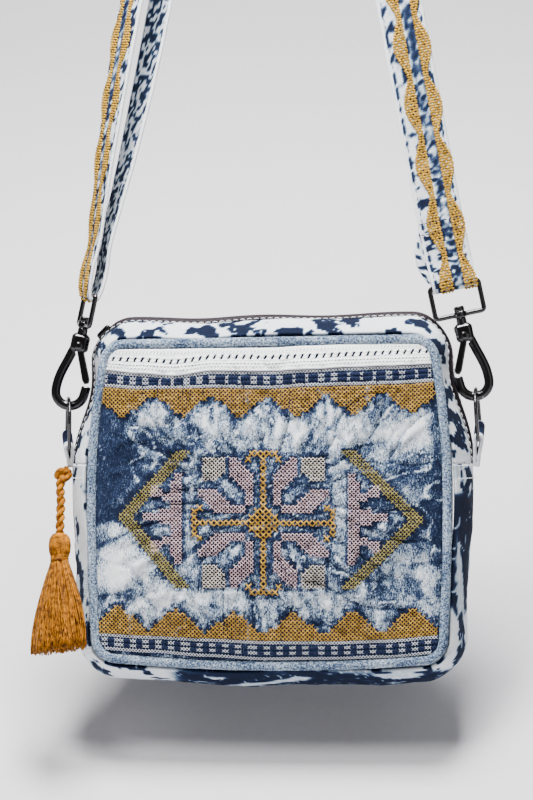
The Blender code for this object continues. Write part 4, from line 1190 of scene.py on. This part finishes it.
def make_piping(top, under):
    """Covered cord round both panels, a little uneven where the cloth is drawn over it."""
    stations = top[:-1] + under[:-1]
    for side, name in ((-1, "front"), (1, "back")):
        sections = []
        washes = []
        for base, outward in stations:
            centre = shaped(base - outward * PIPING_RADIUS, side * SEAM_Y)
            section = []
            for angle in round_angles(16):
                reach = PIPING_RADIUS * (1 + 0.05 * noise.noise(centre * 420 + Vector((angle, 0, 0))))
                across = Vector((0, reach * math.sin(angle), 0))
                section.append(centre + outward * (reach * math.cos(angle)) + across)
                washes.append(0.56 + 0.10 * noise.noise(centre * 55 + Vector((3, angle * 0.3, 0))))
            sections.append(section)
        bundle = Bundle()
        bundle.sweep(sections, ring=True, washes=washes)
        piping = bundle.piece("piping_cord_" + name, piping_denim)
        placed(piping, replaces=("piping_" + name,))


def band_normal(stations, index, depth):
    """Outward direction of the side band at a station and depth."""
    here = band_point(stations[index], depth, 0)
    ahead = band_point(stations[min(index + 1, len(stations) - 1)], depth, 0)
    behind = band_point(stations[max(index - 1, 0)], depth, 0)
    beside = band_point(stations[index], depth + 0.001, 0)
    normal = (ahead - behind).cross(beside - here).normalized()
    return normal if normal.dot(stations[index][1]) > 0 else -normal


def sewn_line(bundle, points, normals, stitching):
    """Row of machine stitches along points."""
    stitch, space, width = stitching
    travelled = 0.0
    start = None
    for index in range(1, len(points)):
        travelled += (points[index] - points[index - 1]).length
        if start is None and travelled >= space:
            start = index
            travelled = 0.0
        elif start is not None and travelled >= stitch:
            bundle.thread(points[start], points[index], normals[index], width, width * 0.7)
            start = None
            travelled = 0.0


def proud_point(station, depth, inset):
    """Point of the zip, which stands higher over the top than on the sides, where the hooks swing past."""
    share = 0.5 + 0.5 * ease(station[1].z, 0.5, 1.0)
    return band_point(station, depth, inset * share if inset < 0 else inset)


def make_zip():
    """Tape, and the teeth that come up from its two halves by turns."""
    top = outline(True, ZIP_PITCH)
    depths = [ZIP_HALF_TAPE * share for share in (-1, -0.5, -0.2, 0.2, 0.5, 1)]
    tape = [[band_point(station, depth, CLOTH + GAP) for depth in depths] for station in top[::2]]
    cloth = cloth_piece("zip_tape_cotton", tape, (), tape_cotton, 0.0008)
    placed(cloth, replaces=("zip_tape",))
    teeth = Bundle()
    for index in range(1, len(top) - 1):
        reach = -ZIP_TOOTH_REACH if index % 2 else ZIP_TOOTH_REACH
        path = [proud_point(top[index], reach * across, sink) for across, sink in ZIP_TOOTH]
        teeth.tube(path, ZIP_TOOTH_RADIUS, 5)
    teeth.sweep([[proud_point(station, depth, inset) for depth, inset in ZIP_RIB] for station in top[::2]])
    placed(teeth.piece("zip_coil_teeth", coil_plastic), replaces=("zip_coil",))


def make_topstitching():
    """White stitches along the zip and across the side seams."""
    bundle = Bundle()
    fine_top = outline(True, 0.0004)
    for depth in (-ZIP_SEAM, ZIP_SEAM):
        points = [band_point(station, depth, -STITCH_LIFT) for station in fine_top]
        normals = [band_normal(fine_top, index, depth) for index in range(len(fine_top))]
        sewn_line(bundle, points, normals, ZIP_STITCHING)
    fine_under = outline(False, 0.0005)
    depths = [BAND_EDGE * (2 * step / 100 - 1) for step in range(101)]
    # rows of stitches, counted in stations from each end of the lower band
    for index in (2, 16, len(fine_under) - 3, len(fine_under) - 17):
        points = [band_point(fine_under[index], depth, -STITCH_LIFT) for depth in depths]
        normals = [band_normal(fine_under, index, depth) for depth in depths]
        sewn_line(bundle, points, normals, SEAM_STITCHING)
    placed(bundle.piece("band_topstitching", white_stitching))


# Embroidery on the front

class Ground:
    """The front panel's surface, to sew on."""

    def __init__(self, panel):
        shell = bmesh.new()
        shell.from_mesh(panel.data)
        self.tree = BVHTree.FromBMesh(shell)
        shell.free()

    def at(self, x, z):
        """Point and outward direction of the front at a place across and up, or None off the panel."""
        place, normal, _, _ = self.tree.ray_cast(Vector((x, -0.2, z)), Vector((0, 1, 0)))
        if place is None:
            return None
        return place, normal if normal.y < 0 else -normal


def cross_stitch(bundle, ground, x, z, size, width):
    """Two threads crossed over one square of the cloth."""
    found = ground.at(x, z)
    if found is None:
        return
    middle, normal = found
    half = size * 0.53
    up = Vector((0, 0, 1)) - normal * normal.z
    up.normalize()
    right = up.cross(normal).normalized()
    wobble = [chance.uniform(-0.07, 0.07) * size for _ in range(4)]
    base = middle + normal * width * 0.2
    first = (base - right * (half + wobble[0]) - up * half, base + right * half + up * (half + wobble[1]))
    second = (base - right * half + up * (half + wobble[2]), base + right * (half + wobble[3]) - up * half)
    bundle.thread(first[0], first[1], normal, width, width * 0.55)
    bundle.thread(second[0], second[1], normal, width, width * 1.25)


def edge_between(tips, valleys_row, column):
    """Row of a zigzag's edge at a column: straight between tips and the valleys midway."""
    corners = []
    for index, (tip_column, tip_row) in enumerate(tips):
        if index:
            middle = (tip_column + tips[index - 1][0]) / 2
            corners.append((middle, valleys_row(middle)))
        corners.append((tip_column, tip_row))
    first, last = corners[0], corners[-1]
    reach = (tips[1][0] - tips[0][0]) / 2
    corners.insert(0, (first[0] - reach, valleys_row(first[0])))
    corners.append((last[0] + reach, valleys_row(last[0])))
    for before, after in zip(corners, corners[1:]):
        if before[0] <= column <= after[0]:
            share = (column - before[0]) / (after[0] - before[0])
            return before[1] + (after[1] - before[1]) * share
    return valleys_row(column)


def upper_valleys(column):
    """Row where the upper triangles meet."""
    return between(TOP_BANDS, column, 4) + ZIGZAG_STRIP


def lower_valleys(column):
    """Row where the lower triangles meet."""
    return between(BOTTOM_BANDS, column, 1) - ZIGZAG_STRIP


def zigzag_places():
    """Mustard triangles under the braid and over the bottom band."""
    places = []
    step = STITCH / PIXEL
    column = ZIGZAG_SIDES[0]
    while column < ZIGZAG_SIDES[1]:
        row = between(TOP_BANDS, column, 4) + step / 2
        low = edge_between(ZIGZAG_TIPS_DOWN, upper_valleys, column)
        while row < low:
            places.append((*at_pixel(column, row), STITCH))
            row += step
        row = between(BOTTOM_BANDS, column, 1) - step / 2
        high = edge_between(ZIGZAG_TIPS_UP, lower_valleys, column)
        while row > high:
            places.append((*at_pixel(column, row), STITCH))
            row -= step
        column += step
    return places


def star_cross_places():
    """Thin cross of the star: one row of stitches each way, a knot of them in the middle and forked ends."""
    middle_x, middle_z = at_pixel(*STAR_CENTRE)
    offsets = set()
    for reach in range(-12, 13):
        offsets.add((reach, 0))
        offsets.add((0, reach))
    for i in (-2, -1, 0, 1, 2):
        for j in (-2, -1, 0, 1, 2):
            if abs(i) + abs(j) < 4:
                offsets.add((i, j))
    for end in (-12, 12):
        back = -1 if end > 0 else 1
        for side in (-1, 1):
            for out, away in ((1, 0), (2, 0), (2.6, 1)):
                offsets.add((side * out, end + back * away))
                offsets.add((end + back * away, side * out))
    return [(middle_x + i * BAR_STITCH, middle_z + j * BAR_STITCH, BAR_STITCH) for i, j in sorted(offsets)]


def quartered(rows, transposed):
    """Places of charted rows of cells, turned over into the star's four quarters."""
    middle_x, middle_z = at_pixel(*STAR_CENTRE)
    cells = {(column, row) for row, first, last in rows for column in range(first, last + 1)}
    if transposed:
        cells |= {(row, column) for column, row in cells}
    places = []
    for column, row in sorted(cells):
        for turn_x in (-1, 1):
            for turn_z in (-1, 1):
                places.append((middle_x + turn_x * column * CELL, middle_z + turn_z * row * CELL, CELL))
    return places


def flower_places():
    """Half-flowers at both sides of the star: a bar with tapered ends and three arms."""
    places = []
    for bar_column, turn in ((183.0, -1), (348.5, 1)):
        bar_x, bar_z = at_pixel(bar_column, 518.5)
        for first, last, low, high in FLOWER_BLOCKS:
            for i in range(first, last + 1):
                for j in range(low, high + 1):
                    places.append((bar_x + turn * (i + 0.5) * CELL, bar_z + j * CELL, CELL))
    return places


def chevron_places():
    """Olive bands that point outwards on both sides of the star."""
    places = []
    for top, point, foot, turn in CHEVRONS:
        for start, end in ((top, point), (point, foot)):
            rows = round(abs(end[1] - start[1]) * PIXEL / CELL)
            for step in range(rows):
                share = (step + 0.5) / rows
                column = start[0] + (end[0] - start[0]) * share
                row = start[1] + (end[1] - start[1]) * share
                for layer in range(-1, 3):
                    places.append((*at_pixel(column - turn * layer * CELL / PIXEL, row), CELL * 0.94))
    return places


def braid_places():
    """Crossed white edges round navy squares, under the lace and along the bottom."""
    white, navy = [], []
    step = BRAID_STITCH / PIXEL
    column = ZIGZAG_SIDES[0]
    while column < ZIGZAG_SIDES[1]:
        for table, first, shares, squares, change in (
                (TOP_BANDS, 3, (0.12, 0.88), (0.38, 0.62), 8.6),
                (BOTTOM_BANDS, 1, (0.10, 0.92), (0.36, 0.64), 6.6)):
            top = between(table, column, first)
            bottom = between(table, column, first + 1)
            for share in shares:
                white.append((*at_pixel(column, top + (bottom - top) * share), BRAID_STITCH))
            for share in squares:
                chosen = white if (column % 13.5) > change else navy
                chosen.append((*at_pixel(column, top + (bottom - top) * share), BRAID_STITCH))
        column += step
    return white, navy


def embroidery_plan():
    """Every cross-stitched piece: name, finish, slot, thread width and places."""
    white, navy = braid_places()
    return (
        ("zigzag_stitches", mustard_stitching, "mustard_thread", 0.00052, zigzag_places()),
        ("star_cross_stitches", mustard_stitching, "mustard_thread", 0.00085, star_cross_places()),
        ("star_petal_stitches", pink_stitching, "denim_washed", 0.00040, quartered(PETAL_ROWS, True)),
        ("star_corner_stitches", cream_stitching, "denim_washed", 0.00040, quartered(CORNER_ROWS, False)),
        ("half_flower_stitches", pink_stitching, "denim_washed", 0.00040, flower_places()),
        ("chevron_stitches", olive_stitching, "denim_washed", 0.00036, chevron_places()),
        ("braid_white_stitches", white_stitching, "denim_washed", 0.00032, white),
        ("braid_navy_stitches", navy_stitching, "denim_washed", 0.00066, navy))


def make_embroidery(ground, plan):
    """Sew every cross-stitched piece of the plan on the front."""
    for name, material, slot, width, places in plan:
        bundle = Bundle()
        for x, z, size in places:
            cross_stitch(bundle, ground, x, z, size, width)
        placed(bundle.piece(name, material))


def make_lace(ground):
    """White cotton lace with a row of slanting slots and rows of pinholes."""
    columns = round((ZIGZAG_SIDES[1] - ZIGZAG_SIDES[0]) / LACE_STEP)
    index_of = {}
    points = []
    for i in range(columns + 1):
        column = ZIGZAG_SIDES[0] + i * LACE_STEP
        top, bottom = between(TOP_BANDS, column, 1), between(TOP_BANDS, column, 3)
        for j in range(LACE_ROWS + 1):
            found = ground.at(*at_pixel(column, top + (bottom - top) * j / LACE_ROWS))
            if found is None:
                continue
            place, normal = found
            ripple = 0.00012 * math.sin(j * 1.1) + 0.0001 * math.sin(i * 0.9)
            edge = 0.0002 if j in (0, LACE_ROWS) else 0.00062
            index_of[(i, j)] = len(points)
            points.append(place + normal * (edge + ripple))
    faces = []
    for i in range(columns):
        column = ZIGZAG_SIDES[0] + (i + 0.5) * LACE_STEP
        top, slots, bottom = (between(TOP_BANDS, column, field) for field in (1, 2, 3))
        for j in range(LACE_ROWS):
            corners = ((i, j), (i + 1, j), (i + 1, j + 1), (i, j + 1))
            off = top + (bottom - top) * (j + 0.5) / LACE_ROWS - slots
            in_slot = abs(off) < SLOT_HALF_HEIGHT and 2.0 < (column + off * SLOT_SLANT) % SLOT_PITCH < 4.7
            pinhole = j in PINHOLE_ROWS and (i + j // 2) % 5 < 2
            if not in_slot and not pinhole and all(corner in index_of for corner in corners):
                faces.append([index_of[corner] for corner in corners])
    bundle = Bundle()
    bundle.add(points, faces)
    placed(walled(bundle.piece("lace_ribbon", lace_cotton), LACE_THICKNESS))


# Strap

def strap_sections():
    """Corners of the strap's solid, section by section from its sewn tail."""
    shell = welded("strap")
    sharp = {edge for edge in shell.edges if edge.calc_face_angle(0) > math.radians(60)}
    ends = [vertex for vertex in shell.verts if sum(edge in sharp for edge in vertex.link_edges) == 3]
    tail = sorted((vertex for vertex in ends if vertex.co.x > 0), key=lambda vertex: vertex.co.x)
    left = sorted(tail[:2], key=lambda vertex: -vertex.co.y)
    right = sorted(tail[2:], key=lambda vertex: -vertex.co.y)
    lines = []
    for vertex in (left[0], right[0], right[1], left[1]):
        line = [vertex]
        while vertex not in ends or len(line) == 1:
            near = [edge.other_vert(vertex) for edge in vertex.link_edges if edge in sharp]
            onward = [other for other in near if other not in line[-2:]]
            vertex = next(other for other in onward if len(line) > 1 or other not in ends)
            line.append(vertex)
        lines.append([vertex.co.copy() for vertex in line])
    shell.free()
    return list(zip(*lines))


def strap_stations(sections, steps):
    """Middle, unit width direction, outward face direction, width and length so far, finely spaced."""
    middles = [sum(corners, Vector()) / 4 for corners in sections]
    widths = [(b + c - a - d) / 2 for a, b, c, d in sections]
    faces = [((a + b) - (c + d)).normalized() for a, b, c, d in sections]
    fine = smooth_curve(middles, steps)
    stations = []
    travelled = 0.0
    for index, middle in enumerate(fine):
        row = min(index // steps, len(sections) - 2)
        share = index / steps - row
        width = widths[row].lerp(widths[row + 1], share)
        face = faces[row].lerp(faces[row + 1], share)
        if index:
            travelled += (middle - fine[index - 1]).length
        along = directions_along(fine[max(0, index - 1):index + 2])[min(index, 1)]
        across = (width - along * width.dot(along)).normalized()
        outward = across.cross(along).normalized()
        outward = outward if outward.dot(face) > 0 else -outward
        stations.append((middle, across, outward, width.length, travelled))
    return stations


def strap_wash(across, travelled):
    """Right side of the strap: mottled middle, white tie-dyed margins and plain white edges."""
    if abs(across) > 0.86:
        return 0.97
    if -0.02 < across < 0.46:
        return 0.44 + 1.1 * noise.noise(Vector((across * 9, travelled * 420, 1.0)))
    spots = noise.fractal(Vector((across * 2.6, travelled * 170, 5.0)), 0.9, 2.0, 3)
    return 0.92 - 0.88 * ease(spots, 0.02, 0.16)


def back_wash(across, travelled):
    """Wrong side of the strap: tie-dye with broad navy blotches and white edges."""
    if abs(across) > 0.84:
        return 0.97
    spots = noise.fractal(Vector((across * 3.0 + 4, travelled * 210, 2.0)), 0.9, 2.0, 3)
    return 0.93 - 0.88 * ease(spots, -0.04, 0.10)


def make_strap():
    """Band with bound edges, and what is sewn on it."""
    stations = strap_stations(strap_sections(), 12)
    rings = []
    washes = []
    for middle, across, outward, width, travelled in stations:
        ring = []
        for face, columns, wash in ((1, STRAP_COLUMNS, strap_wash), (-1, STRAP_COLUMNS[::-1], back_wash)):
            for share in columns:
                edge = 1 - max(0.0, (abs(share) - 0.9) / 0.1) ** 2
                bound = 1.12 if 0.8 <= abs(share) < 0.99 else 0.95
                lift = STRAP_CLOTH / 2 * bound * math.sqrt(max(0.05, edge))
                ripple = 0.00010 * noise.noise(Vector((share * 3, travelled * 260, face)))
                ring.append(middle + across * (share * width / 2) + outward * (face * (lift + ripple)))
                washes.append(wash(share, travelled))
        rings.append(ring)
    bundle = Bundle()
    bundle.sweep(rings, washes=washes)
    placed(bundle.piece("strap_band", strap_denim), replaces=("strap",))
    early = [station for station in stations if station[4] < stations[-1][4] * 0.15]
    fold = min(early, key=lambda station: station[0].z)[4]
    make_scallops(stations, fold)
    make_strap_seam(stations, fold)
    make_strap_edges(stations)


def station_at(stations, travelled, start):
    """Place, width and face directions at a length along the strap, and the station before it."""
    index = start
    while index < len(stations) - 2 and stations[index + 1][4] < travelled:
        index += 1
    here, ahead = stations[index], stations[index + 1]
    share = (travelled - here[4]) / max(ahead[4] - here[4], 1e-9)
    middle, across, outward = (here[field].lerp(ahead[field], share) for field in (0, 1, 2))
    return middle, across, outward, (ahead[0] - here[0]).normalized(), index


def make_scallops(stations, fold):
    """Two chains of mustard scallops on the strap's face, sewn row by row and counted from its fold."""
    bundle = Bundle()
    travelled = 0.002
    index = 0
    row = 0
    while travelled < stations[-1][4] - 0.002:
        middle, across, outward, along, index = station_at(stations, travelled, index)
        base = middle + outward * STRAP_CLOTH * 0.5
        swell = 0.5 + 0.5 * math.cos(2 * math.pi * (travelled - fold - 0.004) / SCALLOP_PERIOD)
        width = SCALLOP_NARROW + SCALLOP_SWELL * swell ** 0.75
        cells = max(1, round(width / SCALLOP_STITCH))
        for inner, turn in SCALLOP_CHAINS:
            for cell in range(cells):
                near = base + across * (inner + turn * width * cell / cells)
                far = base + across * (inner + turn * width * (cell + 1) / cells)
                slant = along * SCALLOP_ROW * (-0.32 if (row + cell) % 2 else 0.32)
                bundle.thread(near - slant, far + slant, outward, SCALLOP_THREAD, 0.0011)
        travelled += SCALLOP_ROW
        row += 1
    placed(bundle.piece("strap_scallop_stitches", mustard_stitching))


def make_strap_seam(stations, fold):
    """Folded end of the strap sewn down over the loop, and the stitches that hold it."""
    sections = []
    washes = []
    for step in range(25):
        share = step / 24
        travelled = fold + END_FOLD_START + END_FOLD_LENGTH * share
        middle, across, outward, _, _ = station_at(stations, travelled, 0)
        swell = math.sin(math.pi * (0.08 + 0.87 * share))
        centre = middle - across * (END_FOLD_ACROSS + END_FOLD_BULGE * swell) - outward * 0.0006
        section = []
        for angle in round_angles(10):
            crumple = 1 + 0.22 * noise.noise(Vector((share * 9, angle, 2.0)))
            wide = END_FOLD_WIDTH * swell * crumple * math.cos(angle)
            thick = END_FOLD_THICKNESS * crumple * math.sin(angle)
            section.append(centre + across * wide + outward * thick)
            washes.append(0.95 - 0.9 * ease(noise.noise(Vector((share * 8, angle * 0.8, 6.0))), 0.10, 0.25))
        sections.append(section)
    edge = Bundle()
    edge.sweep(sections, washes=washes)
    placed(edge.piece("strap_end_fold", strap_denim))
    bundle = Bundle()
    for away in END_SEAMS:
        middle, across, outward, _, _ = station_at(stations, fold + away, 0)
        for step in range(END_STITCHES):
            share = (step - 4) / 4.6
            start = middle + across * (share * 0.0129 - 0.0010) + outward * (STRAP_CLOTH * 0.5 + 0.0005)
            bundle.thread(start, start + across * END_STITCH, outward, 0.0006, 0.0006)
    placed(bundle.piece("strap_end_stitches", navy_stitching))


def make_strap_edges(stations):
    """Dark stitches that hold the white binding, on both faces."""
    bundle = Bundle()
    pitch = 0.0006
    for face in (1, -1):
        for edge in (-1, 1):
            points = []
            normals = []
            index = 0
            for step in range(round(stations[-1][4] / pitch)):
                middle, across, outward, _, index = station_at(stations, step * pitch, index)
                points.append(middle + across * (edge * BINDING_SEAM) + outward * (face * STRAP_CLOTH * 0.52))
                normals.append(outward * face)
            sewn_line(bundle, points, normals, BINDING_STITCHING)
    placed(bundle.piece("strap_edge_stitches", navy_stitching))


# Metal

def make_metal():
    """Rounded hooks, gates, rings and loops on both sides, the strap's slide and the zip's slider."""
    pieces = []
    for side in ("left", "right"):
        pieces += [
            # solid, piece, body, voxel, rounds of smoothing
            ("hook_" + side, "snap_hook_" + side, "snap_" + side, 0.0004, 4),
            ("gate_" + side, "snap_gate_" + side, "lever_" + side, 0.0003, 3),
            ("ring_" + side, "d_ring_" + side, "bag", 0.00028, 4),
            ("loop_" + side, "strap_loop_" + side, "bag", 0.00032, 4)]
    pieces.append(("strap_slider", "strap_slide", "bag", 0.0004, 3))
    pieces.append(("zip_slider", "zip_slider_body", "bag", 0.0003, 4))
    for solid, name, body, voxel, rounds in pieces:
        placed(refined(solid, name, gunmetal, voxel, rounds), body, (solid,))


def make_tabs():
    """Folded cloth tabs: navy faces with white edges that narrow upwards."""
    for side in ("left", "right"):
        tab = refined("tab_" + side, "ring_tab_" + side, band_denim, 0.0004, 4)
        low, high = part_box("tab_" + side)
        middle, half = (low[1] + high[1]) / 2, (high[1] - low[1]) / 2
        washes = []
        for vertex in tab.data.vertices:
            edge = 0.30 + 0.52 * (vertex.co.z - low[2]) / (high[2] - low[2])
            washes.append(0.12 + 0.85 * ease(abs(vertex.co.y - middle) / half, edge - 0.12, edge + 0.06))
        tab.data.attributes.new("wash", "FLOAT", "POINT").data.foreach_set("value", washes)
        placed(tab, replaces=("tab_" + side,))


# Stage: pale paper that slopes up behind the bag into a backdrop, and soft light

def stage_rows():
    """Depth and height of the paper: it rises gently under the bag, then steeply, and turns upright."""
    rows = [(-3.0, 0.0)]
    for step in range(1, 61):
        y = -1.2 + 2.0 * step / 60
        slope = FLOOR_SLOPE + (BACK_SLOPE - FLOOR_SLOPE) * ease(y, -0.35, 0.05)
        rows.append((y, rows[-1][1] + slope * (y - rows[-1][0])))
    middle = min(rows, key=lambda row: abs(row[0]))[1]
    rows = [(y, height - middle + UNDER_BAG) for y, height in rows]
    y, height = rows[-1]
    first = math.atan(BACK_SLOPE)
    for step in range(1, 13):
        angle = first + (math.pi / 2 - first) * step / 12
        y += 0.10 * math.cos(angle)
        height += 0.10 * math.sin(angle)
        rows.append((y, height))
    rows.append((y, height + 2.5))
    return rows


def make_stage():
    """Backdrop of pale paper, clear from behind so that the bag's back is seen too."""
    rows = stage_rows()
    mesh = bpy.data.meshes.new("backdrop")
    points = [(x, y, z) for y, z in rows for x in (-STAGE_HALF_WIDTH, STAGE_HALF_WIDTH)]
    mesh.from_pydata(points, [], [(2 * k, 2 * k + 1, 2 * k + 3, 2 * k + 2) for k in range(len(rows) - 1)])
    mesh.shade_smooth()
    material, tree, shader = start_material("backdrop paper", 0.9)
    grain = noise_node(tree, place_node(tree), 240.0, 2.0)
    paper = ramp_node(tree, grain, ((0.2, (0.54, 0.535, 0.56)), (0.8, (0.57, 0.565, 0.59))))
    tree.links.new(paper, shader.inputs["Base Color"])
    behind = tree.nodes.new("ShaderNodeNewGeometry").outputs["Backfacing"]
    clear = tree.nodes.new("ShaderNodeBsdfTransparent")
    either = tree.nodes.new("ShaderNodeMixShader")
    tree.links.new(behind, either.inputs["Fac"])
    tree.links.new(shader.outputs["BSDF"], either.inputs[1])
    tree.links.new(clear.outputs["BSDF"], either.inputs[2])
    tree.links.new(either.outputs["Shader"], tree.nodes["Material Output"].inputs["Surface"])
    mesh.materials.append(material)
    linked("backdrop", mesh)


def make_light():
    """Soft lights from the front and above, and a faint even glow."""
    for name, place, size, power, colour in LIGHTS:
        data = bpy.data.lights.new(name, "AREA")
        data.size = size
        data.energy = power
        data.color = colour
        light = linked(name, data)
        light.location = place
        light.rotation_euler = (LIGHT_AIM - Vector(place)).to_track_quat("-Z", "Y").to_euler()
    world = bpy.data.worlds.new("studio")
    world.use_nodes = True
    set_inputs(world.node_tree.nodes["Background"], Color=WORLD_COLOUR, Strength=WORLD_STRENGTH)
    bpy.context.scene.world = world


def build():
    """The whole scene: the camera and the cord first."""
    make_camera()
    cord, route = make_cord()
    knot = make_knot(CORD_POINTS[1], (route[20] - route[12]).normalized())
    hang = ((route[-1] - route[-3]).normalized() + Vector((0.02, 0, 0))).normalized()
    tassel = make_tassel(CORD_POINTS[-1] + hang * 0.0003, hang)
    plan = embroidery_plan()
    front = make_panels(plan)
    top, under = make_side_bands()
    make_piping(top, under)
    make_zip()
    make_topstitching()
    ground = Ground(front)
    make_embroidery(ground, plan)
    make_lace(ground)
    make_strap()
    make_metal()
    make_tabs()
    make_stage()
    make_light()


build()
